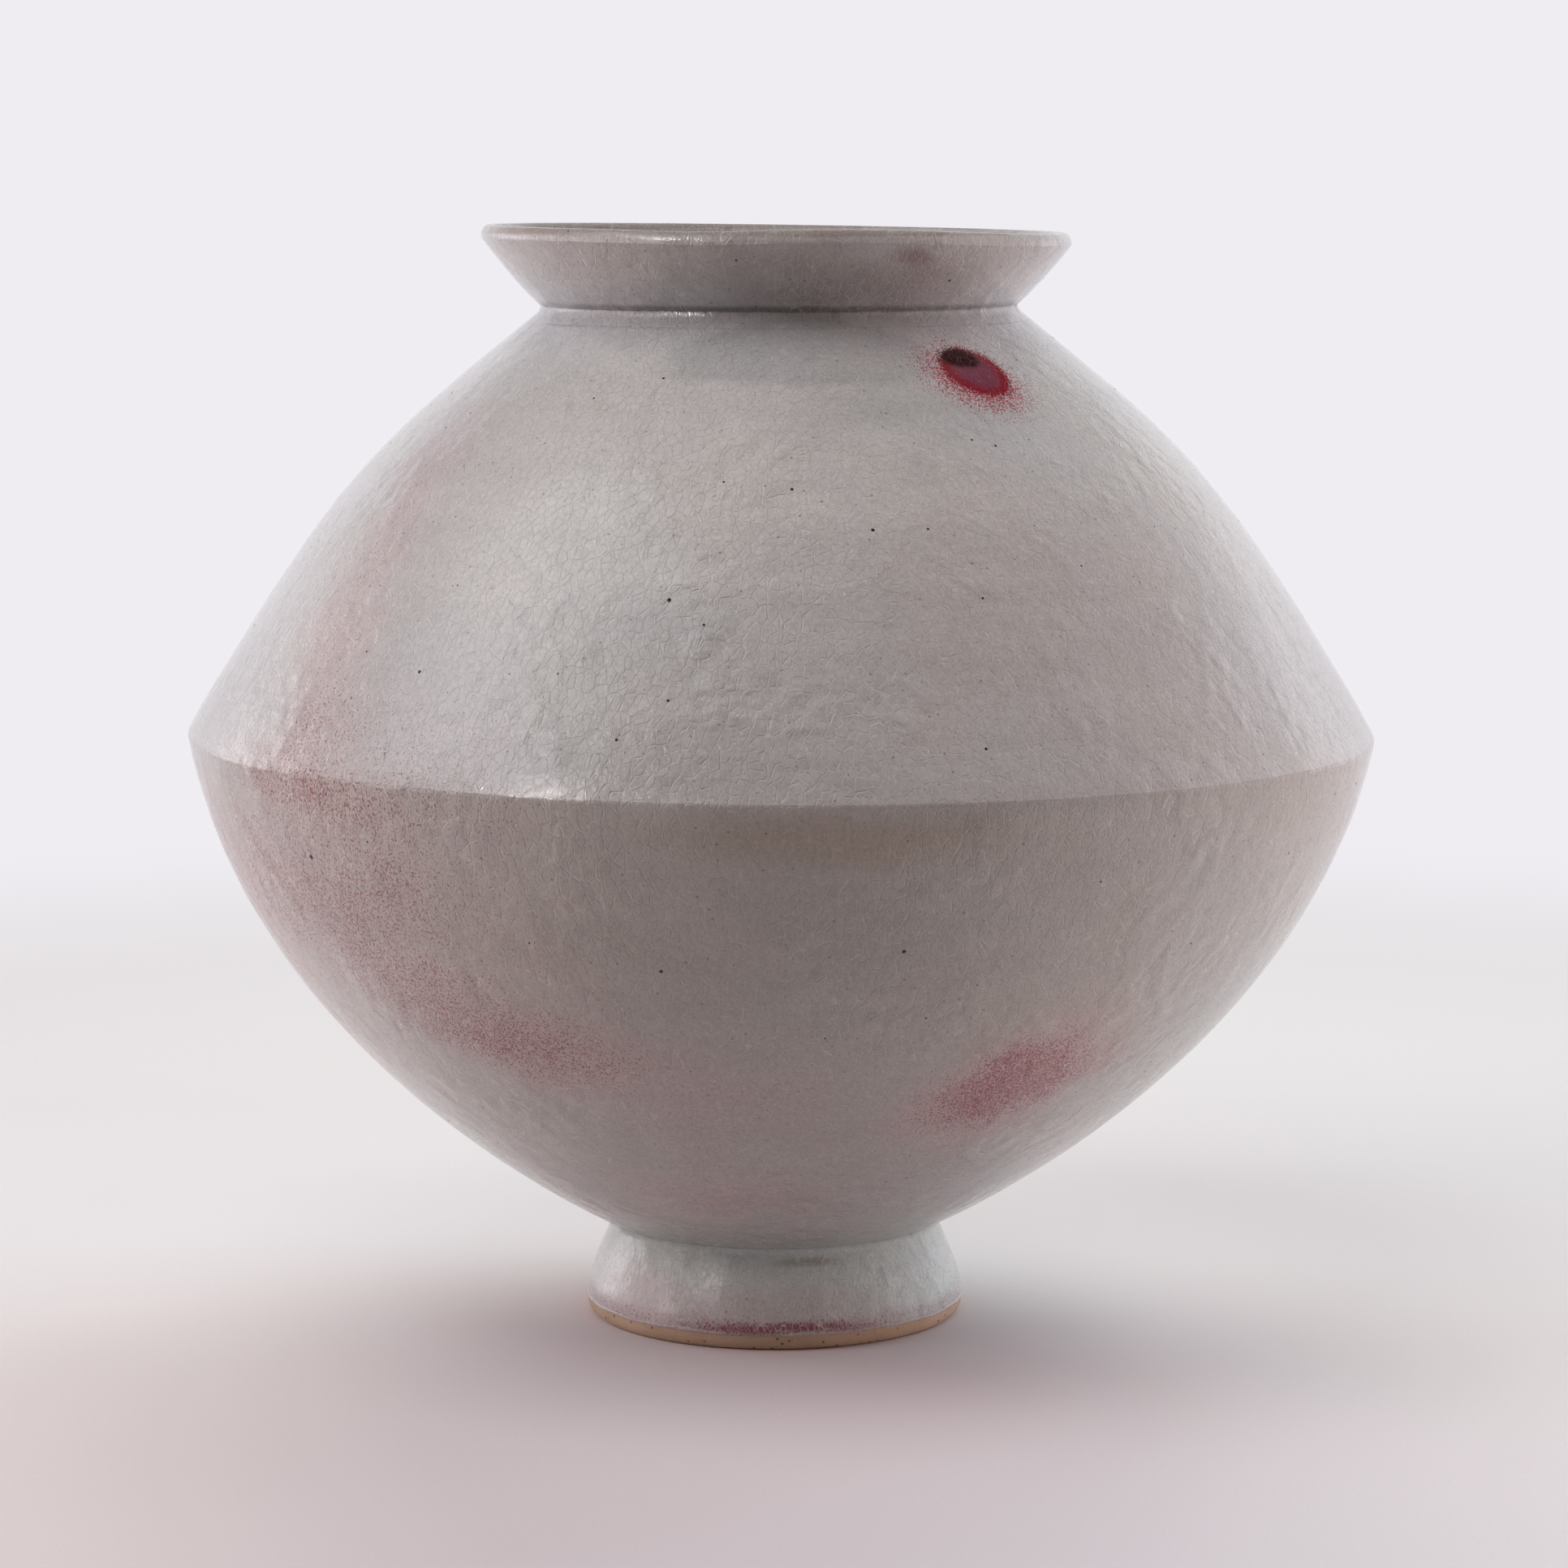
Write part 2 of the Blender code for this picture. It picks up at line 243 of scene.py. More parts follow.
def thrown(name, outline, finish, ring_depth, ring_spacing, seed):
    """One section of the vase, turned from an outline that goes up its outside and down its inside."""
    if min(outline[0][0], outline[-1][0]) > 0:
        outline = np.vstack((outline, outline[0]))
    pattern = bpy.data.meshes.new(name + "_outline")
    pattern.from_pydata([(radius, 0, height) for radius, height in outline], [], [])
    inputs = {
        "Ring Depth": ring_depth,
        "Ring Spacing": ring_spacing,
        "Ring Reach": RING_REACH,
        "Dent Depth": DENT_DEPTH,
        "Dent Width": DENT_WIDTH,
        "Still Radius": STILL_RADIUS,
        "Glaze Line": GLAZE_LINE,
        "Line Wander": LINE_WANDER,
        "Line Reach": LINE_REACH,
        "Seed": seed,
        "Finish": finish,
    }
    piece = made_with(WHEEL, name, pattern, inputs)
    places = np.empty(len(piece.data.vertices) * 3)
    piece.data.vertices.foreach_get("co", places)
    piece.data.vertices.foreach_set("co", settled(places.reshape(-1, 3)).ravel())
    piece.data.shade_smooth()
    piece.data.set_sharp_from_angle(angle=math.radians(SHARP_FROM))
    piece.data.update()
    return piece


def blank_material(name):
    """A new material, and its node tree with nothing in it."""
    material = bpy.data.materials.new(name)
    material.use_nodes = True
    material.node_tree.nodes.clear()
    return material, material.node_tree


def bare_stoneware():
    """Buff stoneware fired bare: matt, slightly gritty, toasted unevenly, with iron specks in it."""
    material, tree = blank_material("bare_turned_stoneware")
    place = add(tree, "TexCoord").outputs["Object"]
    patches = {"Vector": place, "Scale": 1 / TOASTED_PATCH, "Detail": 3.0}
    toast = add(tree, "TexNoise", patches).outputs[0]
    fired = {0: toast, 6: linear(CLAY_BUFF), 7: linear(CLAY_TOASTED)}
    body = add(tree, "Mix", fired, data_type="RGBA").outputs[2]
    speck = add(tree, "TexVoronoi", {"Vector": place, "Scale": 1 / SPECK_SPACING}).outputs["Distance"]
    iron = add(tree, "MapRange", {0: speck, 1: 0.10, 2: 0.20, 3: 1.0, 4: 0.0}).outputs[0]
    body = add(tree, "Mix", {0: iron, 6: body, 7: linear(CLAY_SPECK)}, data_type="RGBA").outputs[2]
    grains = {"Vector": place, "Scale": 1 / CLAY_GRIT, "Detail": 3.0, "Roughness": 0.6}
    grit = add(tree, "TexNoise", grains).outputs[0]
    grain = add(tree, "MapRange", {0: grit, 1: 0.3, 2: 0.7, 3: 0.86, 4: 1.08}).outputs[0]
    mottled = add(tree, "VectorMath", {0: body, "Scale": grain}, operation="SCALE").outputs[0]
    rough = add(tree, "MapRange", {0: grit, 1: 0.3, 2: 0.7, 3: 0.72, 4: 0.92}).outputs[0]
    relief = add(tree, "Bump", {"Strength": 0.6, "Distance": GRIT_DEPTH, "Height": grit}).outputs[0]
    surface = {"Base Color": mottled, "Roughness": rough, "Normal": relief, "IOR": 1.45}
    shader = add(tree, "BsdfPrincipled", {**surface, "Specular IOR Level": 0.3})
    add(tree, "OutputMaterial", {"Surface": shader.outputs[0]})
    return material


round_turns = np.linspace(0, math.pi / 2, 9)
clay_outside = [
    (
        CONTACT_RADIUS + (CLAY_RADIUS - CONTACT_RADIUS) * math.sin(turn),
        CLAY_ROUND_HEIGHT * (1 - math.cos(turn)),
    )
    for turn in round_turns
]
contact_inner = CONTACT_RADIUS - CONTACT_WIDTH
clay_inside = drawn(
    (BORE_AT_LINE, GLAZE_LINE),
    heading(2 * MM, -76),
    heading(0.6 * MM, 0),
    (contact_inner + CLAY_INNER_ROUND, 0),
    6,
)
clay_outline = np.vstack((clay_outside, ((CLAY_RADIUS, GLAZE_LINE),), clay_inside))
clay_edge = thrown("foot_clay_edge", clay_outline, bare_stoneware(), *CLAY_RINGS)
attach(clay_edge, "root")
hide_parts("foot_ring")

# Foot ring
# A thrown ring that carries the bowl. The glaze runs down it and stops above the bare clay in a thick
# rolled edge, where copper has gathered in a dark speckled line.

GLAZE_ROLL = 0.45 * MM
GLAZE_ROLL_HEIGHT = 1.4 * MM
CREASE_RADIUS = 55.5 * MM
CREASE_LEVEL = 32.2 * MM
CREASE_ROUND = 2.2 * MM
FOOT_WALL_AT_CREASE = 11.5 * MM
UNDERSIDE_LEVEL = 33.1 * MM
RECESS_ROUND = 3.0 * MM
WAIST_RADIUS = 200.0 * MM
WAIST_LEVEL = 200.6 * MM
LOWER_SLOPE_AT_WAIST = 79.25
LOWER_REACH_AT_WAIST = 113.5 * MM

FOOT_PALE = "#D6DCDD"
FOOT_GREEN = "#CBD7D6"
POOLED_GLAZE = "#A3ADA8"
CLOUD_WIDTH = 80 * MM
BAND_WANDER = 1.2 * MM
MARK_DEPTH = 40 * MM
COPPER_DUST = "#8B3D49"
COPPER_HAZE = "#CC9A9E"
COPPER_MAROON = "#9A6F76"
MAROON_LINE = "#7E525C"
CREASE_BROWN = "#7A6A5E"
ROLLED_EDGE = "#B9948E"
DRIFT_WIDTH = 20 * MM
DUST_SIZE = 0.6 * MM
FLECK_BROWN = "#625249"
FLECKS = ((5.6 * MM, 0.42 * MM, 0.55), (3.0 * MM, 0.28 * MM, 0.3))
CRACKLE_LINE = "#E2DDD8"
CRACKLE_CELL = 2.9 * MM
CRACKLE_STRETCH = 0.42
CRAZE_BEND = 5 * MM
CRAZE_DEPTH = 0.11 * MM
PATCH_WIDTH = 34 * MM
THROWN_TONE = ((0.04, 0.04, 1), 9 * MM, 0.03)
STREAK_TONE = ((1, 1, 0.12), 1.6 * MM, 0.04)
MOTTLE_TONE = ((1, 1, 1), 2.6 * MM, 0.04)
PEPPER_TONE = ((1, 1, 1), 0.85 * MM, 0.11)
WRINKLE_WIDTH = 7 * MM
WRINKLE_DEPTH = 1.5 * MM
PEEL_WIDTH = 1.5 * MM
PEEL_DEPTH = 0.19 * MM
HOOP_WIDTH = 6 * MM
HOOP_DEPTH = 0.4 * MM
GRAIN_WIDTH = 0.6 * MM
GRAIN_DEPTH = 0.09 * MM
SKIN_WEIGHT = 0.6
SKIN_SWELL = 0.4 * MM
SKIN_HOOPS = 0.12 * MM
SKIN_GRAIN = 0.1 * MM
FOOT_CELL = 2.0 * MM
FOOT_RINGS = (0.10 * MM, 7 * MM, 1.0)


def way(vector):
    return vector / np.linalg.norm(vector)


def cut_back(outline, length):
    """An outline without the first length of its run."""
    run = np.concatenate(([0], np.cumsum(np.linalg.norm(np.diff(outline, axis=0), axis=1))))
    start = [np.interp(length, run, outline[:, k]) for k in (0, 1)]
    return np.vstack((start, outline[run > length * 1.001]))


def softened(before, after, radius, steps):
    """Two outlines that meet in a corner, both cut back, with the round that joins them between."""
    corner = math.acos(np.clip(way(before[-1] - before[-2]) @ way(after[1] - after[0]), -1, 1))
    reach = radius * math.tan(corner / 2)
    before = cut_back(before[::-1], reach)[::-1]
    after = cut_back(after, reach)
    pull = 4 / 3 * math.tan(corner / 4) * radius
    leaving = way(before[-1] - before[-2]) * pull
    arriving = way(after[1] - after[0]) * pull
    return before, drawn(before[-1], leaving, arriving, after[0], steps), after


def on_wall(outline, azimuth, height):
    """The place on a wall at an azimuth and height, and the ways across, up and out of the wall there."""
    k = int(np.argmin(np.abs(outline[:, 1] - height)))
    k = min(max(k, 1), len(outline) - 2)
    radius, level = outline[k]
    slope = way(outline[k + 1] - outline[k - 1])
    side = Vector((math.sin(math.radians(azimuth)), -math.cos(math.radians(azimuth)), 0))
    across = Vector((math.cos(math.radians(azimuth)), math.sin(math.radians(azimuth)), 0))
    up = side * slope[0] + Vector((0, 0, slope[1]))
    out = side * slope[1] - Vector((0, 0, slope[0]))
    return side * radius + Vector((0, 0, level)), across, up, out


def mark_distance(tree, place, wall, azimuth, height, across, up, turn=0, depth=MARK_DEPTH):
    """How far a point lies from the middle of an oval mark on a wall: 0 there and 1 on its outline."""
    middle, side, rise, out = on_wall(wall, azimuth, height)
    tilt = Matrix.Rotation(math.radians(turn), 3, out)
    axes = Matrix((tilt @ side, tilt @ rise, out)).transposed().to_euler()
    oval = {"Vector": place, "Location": middle, "Rotation": axes, "Scale": (across, up, depth)}
    mapped = add(tree, "Mapping", oval, vector_type="TEXTURE").outputs[0]
    return add(tree, "VectorMath", {0: mapped}, operation="LENGTH").outputs["Value"]


def band_at(begin, full, fade, end, **looks):
    """Another colour all round, of the glaze or painted shade, by the heights in millimetres where it
    begins, is full and ends.
    """
    return {"heights": (begin * MM, full * MM, fade * MM, end * MM), **looks}


def haze_on(wall, azimuth, height, across, up, **looks):
    """Another colour in an oval on a wall, of the glaze or of painted light or shade. The azimuth is in
    degrees, the rest in millimetres.
    """
    return {"wall": wall, "place": (azimuth, height * MM), "size": (across * MM, up * MM), **looks}


def embossed(tree, reliefs):
    """The way a surface faces, once reliefs lie on it over each other. Each is a height and its depth."""
    under = {}
    for height, depth in reliefs:
        relief = {"Strength": 1.0, "Distance": depth, "Height": height, **under}
        under = {"Normal": add(tree, "Bump", relief).outputs[0]}
    return under["Normal"]


def crackled_glaze(
    name, pale, cool, bands=(), hazes=(), marks=None, wander=BAND_WANDER, crackle=0.2, mesh=CRACKLE_CELL
):
    """Feldspar glaze fired over stoneware: pale, glossy, dimpled like orange peel and crazed into a fine
    net. Bands are heights where the glaze ran thick, thin or coloured, or painted shade lies. Hazes are
    copper that drifted in the kiln and settled as tint and dust, or painted light and shade. Marks draws
    what only one section has.
    """
    material, tree = blank_material(name)
    place = add(tree, "TexCoord").outputs["Object"]

    # The glaze lies warmer and cooler in slow clouds
    clouds = {"Vector": place, "Scale": 1 / CLOUD_WIDTH, "Detail": 2.0}
    cloud = add(tree, "TexNoise", clouds).outputs[0]
    cloudy = add(tree, "MapRange", {0: cloud, 1: 0.38, 2: 0.62}).outputs[0]
    tones = {0: cloudy, 6: linear(pale), 7: linear(cool)}
    colour = add(tree, "Mix", tones, data_type="RGBA").outputs[2]

    # Bands keep to a height, which wanders a little round the pot
    height = add(tree, "SeparateXYZ", {0: place}).outputs["Z"]
    around = {0: place, 1: (1 / LINE_REACH, 1 / LINE_REACH, 0)}
    flat = add(tree, "VectorMath", around, operation="MULTIPLY").outputs[0]
    wave = add(tree, "TexNoise", {"Vector": flat, "Scale": 1.0, "Detail": 2.0}).outputs[0]
    rise = add(tree, "MapRange", {0: wave, 3: -2 * wander, 4: 2 * wander}, clamp=False).outputs[0]
    level = add(tree, "Math", {0: height, 1: rise}, operation="SUBTRACT").outputs[0]
    soft = {"interpolation_type": "SMOOTHSTEP"}
    dust_share = 0.0
    for band in bands:
        begin, full, fade, end = band["heights"]
        low = add(tree, "MapRange", {0: level, 1: begin, 2: full}, **soft).outputs[0]
        falling = {0: level, 1: fade, 2: end, 3: band["tint"], 4: 0.0}
        high = add(tree, "MapRange", falling, **soft).outputs[0]
        share = add(tree, "Math", {0: low, 1: high}, operation="MULTIPLY").outputs[0]
        shade = linear(band["colour"])
        colour = add(tree, "Mix", {0: share, 6: colour, 7: shade}, data_type="RGBA").outputs[2]
        settled_here = {0: share, 1: band.get("dust", 0.0), 2: dust_share}
        dust_share = add(tree, "Math", settled_here, operation="MULTIPLY_ADD").outputs[0]

    # Hazes have soft ragged edges, because the copper drifted; the ovals of painted light and shade have
    # them too
    drift = add(tree, "TexNoise", {"Vector": place, "Scale": 1 / DRIFT_WIDTH, "Detail": 3.0})
    either_way = {0: drift.outputs["Color"], 1: (0.5, 0.5, 0.5)}
    pull = add(tree, "VectorMath", either_way, operation="SUBTRACT").outputs[0]
    for haze in hazes:
        short, long = sorted(haze["size"])
        ragged = {0: pull, "Scale": haze.get("ragged", 0.5) * short * 2}
        shift = add(tree, "VectorMath", ragged, operation="SCALE").outputs[0]
        drifted = add(tree, "VectorMath", {0: place, 1: shift}, operation="ADD").outputs[0]
        oval = (*haze["place"], *haze["size"], haze.get("turn", 0), max(MARK_DEPTH, 1.3 * long))
        far = mark_distance(tree, drifted, haze["wall"], *oval)
        fading = {0: far, 1: haze.get("core", 0.2), 2: haze.get("rim", 1.3), 3: 1.0, 4: 0.0}
        share = add(tree, "MapRange", fading, **soft).outputs[0]
        tint = add(tree, "Math", {0: share, 1: haze["tint"]}, operation="MULTIPLY").outputs[0]
        shade = linear(haze.get("colour", COPPER_HAZE))
        colour = add(tree, "Mix", {0: tint, 6: colour, 7: shade}, data_type="RGBA").outputs[2]
        settled_here = {0: share, 1: haze.get("dust", 0.0), 2: dust_share}
        dust_share = add(tree, "Math", settled_here, operation="MULTIPLY_ADD").outputs[0]
    run_down = add(tree, "VectorMath", {0: place, 1: (1, 1, 0.6)}, operation="MULTIPLY").outputs[0]
    specks = {"Vector": run_down, "Scale": 1 / DUST_SIZE, "Detail": 1.0, "Roughness": 0.7}
    dust = add(tree, "TexNoise", specks).outputs[0]
    needed = add(tree, "MapRange", {0: dust_share, 3: 0.76, 4: 0.46}).outputs[0]
    over = add(tree, "Math", {0: dust, 1: needed}, operation="SUBTRACT").outputs[0]
    dusted = add(tree, "MapRange", {0: over, 1: 0.0, 2: 0.055, 3: 0.0, 4: 0.82}).outputs[0]
    shade = linear(COPPER_DUST)
    colour = add(tree, "Mix", {0: dusted, 6: colour, 7: shade}, data_type="RGBA").outputs[2]

    # Brown flecks of two sizes under the glaze
    shade = linear(FLECK_BROWN)
    for spacing, size, strength in FLECKS:
        cell = add(tree, "TexVoronoi", {"Vector": place, "Scale": 1 / spacing}).outputs["Distance"]
        edge = size / spacing
        faded = {0: cell, 1: edge * 0.6, 2: edge * 1.3, 3: strength, 4: 0.0}
        fleck = add(tree, "MapRange", faded).outputs[0]
        colour = add(tree, "Mix", {0: fleck, 6: colour, 7: shade}, data_type="RGBA").outputs[2]

    # The craze lines follow cells of a few millimetres, drawn out up the wall, and come and go
    bend = add(tree, "VectorMath", {0: pull, "Scale": CRAZE_BEND}, operation="SCALE").outputs[0]
    bent = add(tree, "VectorMath", {0: place, 1: bend}, operation="ADD").outputs[0]
    pulled = {0: bent, 1: (1, 1, CRACKLE_STRETCH)}
    drawn_out = add(tree, "VectorMath", pulled, operation="MULTIPLY").outputs[0]
    cells = {"Vector": drawn_out, "Scale": 1 / mesh}
    cell = add(tree, "TexVoronoi", cells, feature="DISTANCE_TO_EDGE").outputs["Distance"]
    line = add(tree, "MapRange", {0: cell, 1: 0.012, 2: 0.065, 3: 1.0, 4: 0.0}).outputs[0]
    patches = {"Vector": place, "Scale": 1 / PATCH_WIDTH, "Detail": 1.0}
    patchy = add(tree, "TexNoise", patches).outputs[0]
    come = add(tree, "MapRange", {0: patchy, 1: 0.35, 2: 0.6, 3: 0.08, 4: crackle}).outputs[0]
    crazed = add(tree, "Math", {0: line, 1: come}, operation="MULTIPLY").outputs[0]
    shade = linear(CRACKLE_LINE)
    colour = add(tree, "Mix", {0: crazed, 6: colour, 7: shade}, data_type="RGBA").outputs[2]
    coat = SKIN_WEIGHT
    if marks:
        colour, burnt_dry = marks(tree, place, colour, dust)
        coat = add(tree, "MapRange", {0: burnt_dry, 3: SKIN_WEIGHT, 4: 0.0}).outputs[0]

    # Throwing rings, fine streaks up the wall and the pepper of the fired glaze vary its tone
    tone = 1.0
    for stretch, size, swing in (THROWN_TONE, STREAK_TONE, MOTTLE_TONE, PEPPER_TONE):
        spaced = add(tree, "VectorMath", {0: place, 1: stretch}, operation="MULTIPLY").outputs[0]
        noise = add(tree, "TexNoise", {"Vector": spaced, "Scale": 1 / size, "Detail": 2.0}).outputs[0]
        swung = {0: noise, 1: 0.25, 2: 0.75, 3: 1 - swing, 4: 1 + swing}
        one = add(tree, "MapRange", swung).outputs[0]
        tone = add(tree, "Math", {0: one, 1: tone}, operation="MULTIPLY").outputs[0]
    colour = add(tree, "VectorMath", {0: colour, "Scale": tone}, operation="SCALE").outputs[0]

    # Wrinkles that come and go, orange peel, fine hoops from the wheel, and grain
    wrinkles = {"Vector": bent, "Scale": 1 / WRINKLE_WIDTH, "Detail": 1.0, "Roughness": 0.4}
    folds = add(tree, "TexNoise", wrinkles).outputs[0]
    strong = add(tree, "MapRange", {0: patchy, 1: 0.42, 2: 0.62, 3: 0.35, 4: 1.0}).outputs[0]
    folded = add(tree, "Math", {0: folds, 1: strong}, operation="MULTIPLY").outputs[0]
    dimples = {"Vector": place, "Scale": 1 / PEEL_WIDTH, "Detail": 1.0, "Roughness": 0.5}
    peel = add(tree, "TexNoise", dimples).outputs[0]
    spun = add(tree, "VectorMath", {0: place, 1: (0.05, 0.05, 1)}, operation="MULTIPLY").outputs[0]
    hoops = add(tree, "TexNoise", {"Vector": spun, "Scale": 1 / HOOP_WIDTH, "Detail": 2.0}).outputs[0]
    grains = add(tree, "TexNoise", {"Vector": place, "Scale": 1 / GRAIN_WIDTH}).outputs[0]
    rough = add(tree, "MapRange", {0: peel, 1: 0.3, 2: 0.7, 3: 0.22, 4: 0.13}).outputs[0]

    # The craze lines sink into the clouded glass. The clear skin over it is smoother, so lamps glint on it
    uneven = ((folded, WRINKLE_DEPTH), (peel, PEEL_DEPTH), (hoops, HOOP_DEPTH), (grains, GRAIN_DEPTH))
    glass = embossed(tree, uneven)
    sunk = {"Strength": 1.0, "Distance": CRAZE_DEPTH, "Height": line, "Normal": glass}
    glass = add(tree, "Bump", sunk, invert=True).outputs[0]
    skin = embossed(tree, ((folded, SKIN_SWELL), (hoops, SKIN_HOOPS), (grains, SKIN_GRAIN)))
    clouded = {"Base Color": colour, "Roughness": rough, "Normal": glass, "IOR": 1.5}
    clear = {"Coat Weight": coat, "Coat Roughness": 0.08, "Coat IOR": 1.5, "Coat Normal": skin}
    shader = add(tree, "BsdfPrincipled", {**clouded, "Specular IOR Level": 0.2, **clear})
    add(tree, "OutputMaterial", {"Surface": shader.outputs[0]})
    return material


roll_turns = np.linspace(0, math.pi, 9)
glaze_roll = [
    (
        CLAY_RADIUS + GLAZE_ROLL * math.sin(turn),
        GLAZE_LINE + GLAZE_ROLL_HEIGHT / 2 * (1 - math.cos(turn)),
    )
    for turn in roll_turns
]
foot_wall = drawn(
    glaze_roll[-1],
    heading(8 * MM, 94),
    heading(9 * MM, 111),
    (CREASE_RADIUS, CREASE_LEVEL),
    22,
)
lower_wall = drawn(
    (CREASE_RADIUS, CREASE_LEVEL),
    (0, 0),
    heading(LOWER_REACH_AT_WAIST, LOWER_SLOPE_AT_WAIST),
    (WAIST_RADIUS, WAIST_LEVEL),
    120,
)
foot_wall, crease_round, lower_wall = softened(foot_wall, lower_wall, CREASE_ROUND, 8)
bore_top = (CREASE_RADIUS - FOOT_WALL_AT_CREASE, UNDERSIDE_LEVEL)
bore = np.linspace((BORE_AT_LINE, GLAZE_LINE), bore_top, 12)
underside = np.linspace(bore_top, (0, UNDERSIDE_LEVEL), 14)
bore, recess_round, underside = softened(bore, underside, RECESS_ROUND, 6)

POOLED_CREASE = band_at(22, 32, 34, 50, tint=0.5, colour=POOLED_GLAZE)
FOOT_BANDS = (
    POOLED_CREASE,
    band_at(5.6, 6.6, 7.6, 13, tint=0.34, colour=COPPER_MAROON, dust=1.2),
    band_at(4.7, 5.2, 5.7, 6.4, tint=0.5, colour=ROLLED_EDGE),
)
FOOT_HAZES = (
    haze_on(foot_wall, 2, 7.6, 34, 2.2, tint=0.85, dust=0.35, colour=MAROON_LINE, ragged=0.7),
    haze_on(foot_wall, 0, 12, 46, 11, tint=0.22, dust=0.3),
    haze_on(foot_wall, -48, 13, 30, 12, tint=0.25, dust=0.1),
    haze_on(foot_wall, 10, 29, 13, 1.8, tint=0.5, colour=CREASE_BROWN),
)
foot_outline = np.vstack((glaze_roll, foot_wall[1:], bore[::-1]))
foot_glaze = crackled_glaze(
    "foot_celadon_crackle_glaze",
    FOOT_PALE,
    FOOT_GREEN,
    FOOT_BANDS,
    FOOT_HAZES,
    wander=LINE_WANDER,
    crackle=0.6,
    mesh=FOOT_CELL,
)
foot = thrown("foot_ring_glazed", foot_outline, foot_glaze, *FOOT_RINGS)
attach(foot, "root")
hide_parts("foot_ring")

# Foot joint
# The slip that sticks the foot ring to the bowl, wiped to a small round in the crease. Glaze has pooled
# over it, so it shows as a soft grey-green line.

foot_joint_outline = np.vstack((crease_round, recess_round[::-1]))
foot_joint = thrown("foot_joint_glazed", foot_joint_outline, foot_glaze, *FOOT_RINGS)
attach(foot_joint, "root")
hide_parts("foot_seam")

# Lower bowl
# A deep bowl thrown the right way up, with its floor in one piece with its wall. Copper drifted over its
# left side in the kiln, and left a rose patch low on the right.

WAIST_ROUND = 2.6 * MM
WAIST_WALL = 7.0 * MM
LOWER_WALL_AT_FOOT = 20.0 * MM
FLOOR_LEVEL = 42.1 * MM
FLOOR_CURVE_HEIGHT = 5.0 * MM
FLOOR_LEVEL_RUN = 44.0 * MM
COIL_ROUND = 14.0 * MM
UPPER_SLOPE_AT_WAIST = 120.1
UPPER_REACH_AT_WAIST = 106.3 * MM
UPPER_SLOPE_AT_NECK = 140.8
UPPER_REACH_AT_NECK = 68.3 * MM
NECK_RADIUS = 79.2 * MM
NECK_LEVEL = 343.1 * MM
NECK_WALL = 8.0 * MM
RIDGE_SWELL = 0.5 * MM
RIDGE_SWELL_HEIGHT = 8.0 * MM
LOWER_PALE = "#BDB6B1"
LOWER_COOL = "#B7B4B1"
LOWER_PAINTED_SHADE = "#A59D96"
TAN_STAIN = "#A08468"
ROSE_MIST = "#B98A90"
ROSE_PATCH = "#BC7A81"
LOWER_RINGS = (0.12 * MM, 10 * MM, 2.0)


def inner_side(outline, width_at_start, width_at_end):
    """The wall's inside: its outside moved level towards the axis by an even change of width."""
    widths = np.linspace(width_at_start, width_at_end, len(outline))
    return outline - np.stack((widths, np.zeros(len(outline))), axis=1)


upper_wall = drawn(
    (WAIST_RADIUS, WAIST_LEVEL),
    heading(UPPER_REACH_AT_WAIST, UPPER_SLOPE_AT_WAIST),
    heading(UPPER_REACH_AT_NECK, UPPER_SLOPE_AT_NECK),
    (NECK_RADIUS, NECK_LEVEL),
    100,
)
lower_inside = inner_side(lower_wall[::2], LOWER_WALL_AT_FOOT, WAIST_WALL)
upper_inside = inner_side(upper_wall[::2], WAIST_WALL, NECK_WALL)
above_ridge = (upper_wall[:, 1] - WAIST_LEVEL) / RIDGE_SWELL_HEIGHT
upper_wall[:, 0] += RIDGE_SWELL * above_ridge * np.exp(1 - above_ridge)
lower_wall, waist_round, upper_wall = softened(lower_wall, upper_wall, WAIST_ROUND, 10)
lower_inside = lower_inside[lower_inside[:, 1] > FLOOR_LEVEL + FLOOR_CURVE_HEIGHT]
lower_inside, coil_round, upper_inside = softened(lower_inside, upper_inside, COIL_ROUND, 8)
climb = way(lower_inside[1] - lower_inside[0]) * FLOOR_CURVE_HEIGHT
floor_inside = drawn((0, FLOOR_LEVEL), (FLOOR_LEVEL_RUN, 0), climb, lower_inside[0], 24)

WAIST_HAZES = (
    haze_on(lower_wall, -48, 172, 92, 44, tint=0.12, dust=0.42, turn=10, core=0.3),
    haze_on(lower_wall, -40, 195, 100, 10, tint=0.05, dust=0.30),
    haze_on(upper_wall, -53, 204, 40, 10, tint=0.14, dust=0.22),
    haze_on(upper_wall, -50, 216, 26, 14, tint=0.12, dust=0.18),
    haze_on(upper_wall, -38, 222, 68, 24, tint=0.03, dust=0.26),
    haze_on(lower_wall, 5, 190, 60, 11, tint=0.5, colour=TAN_STAIN),
)
LOWER_HAZES = (
    # Painted shade: a broad darker oval over the front of the bowl, which faces the dim side of the room
    haze_on(lower_wall, 3, 120, 120, 84, tint=0.6, colour=LOWER_PAINTED_SHADE, core=0.4),
    haze_on(lower_wall, -50, 135, 100, 60, tint=0.10, dust=0.40, core=0.3),
    haze_on(lower_wall, -82, 140, 64, 90, tint=0.6, dust=0.32, colour=ROSE_MIST),
    haze_on(lower_wall, -33, 122, 56, 26, tint=0.18, dust=0.42, turn=-14),
    haze_on(lower_wall, -17, 108, 66, 26, tint=0.12, dust=0.30, turn=-12),
    haze_on(lower_wall, -10, 60, 42, 16, tint=0.18, dust=0.22),
    haze_on(lower_wall, 30.5, 103.5, 42, 30, tint=0.38, dust=0.82, turn=40, core=0.3),
    haze_on(lower_wall, 30.2, 105.7, 25, 18, tint=0.32, dust=0.36, turn=40, colour=ROSE_PATCH),
)
lower_glaze = crackled_glaze(
    "lower_bowl_crackle_glaze",
    LOWER_PALE,
    LOWER_COOL,
    (POOLED_CREASE,),
    WAIST_HAZES + LOWER_HAZES,
    crackle=0.22,
)
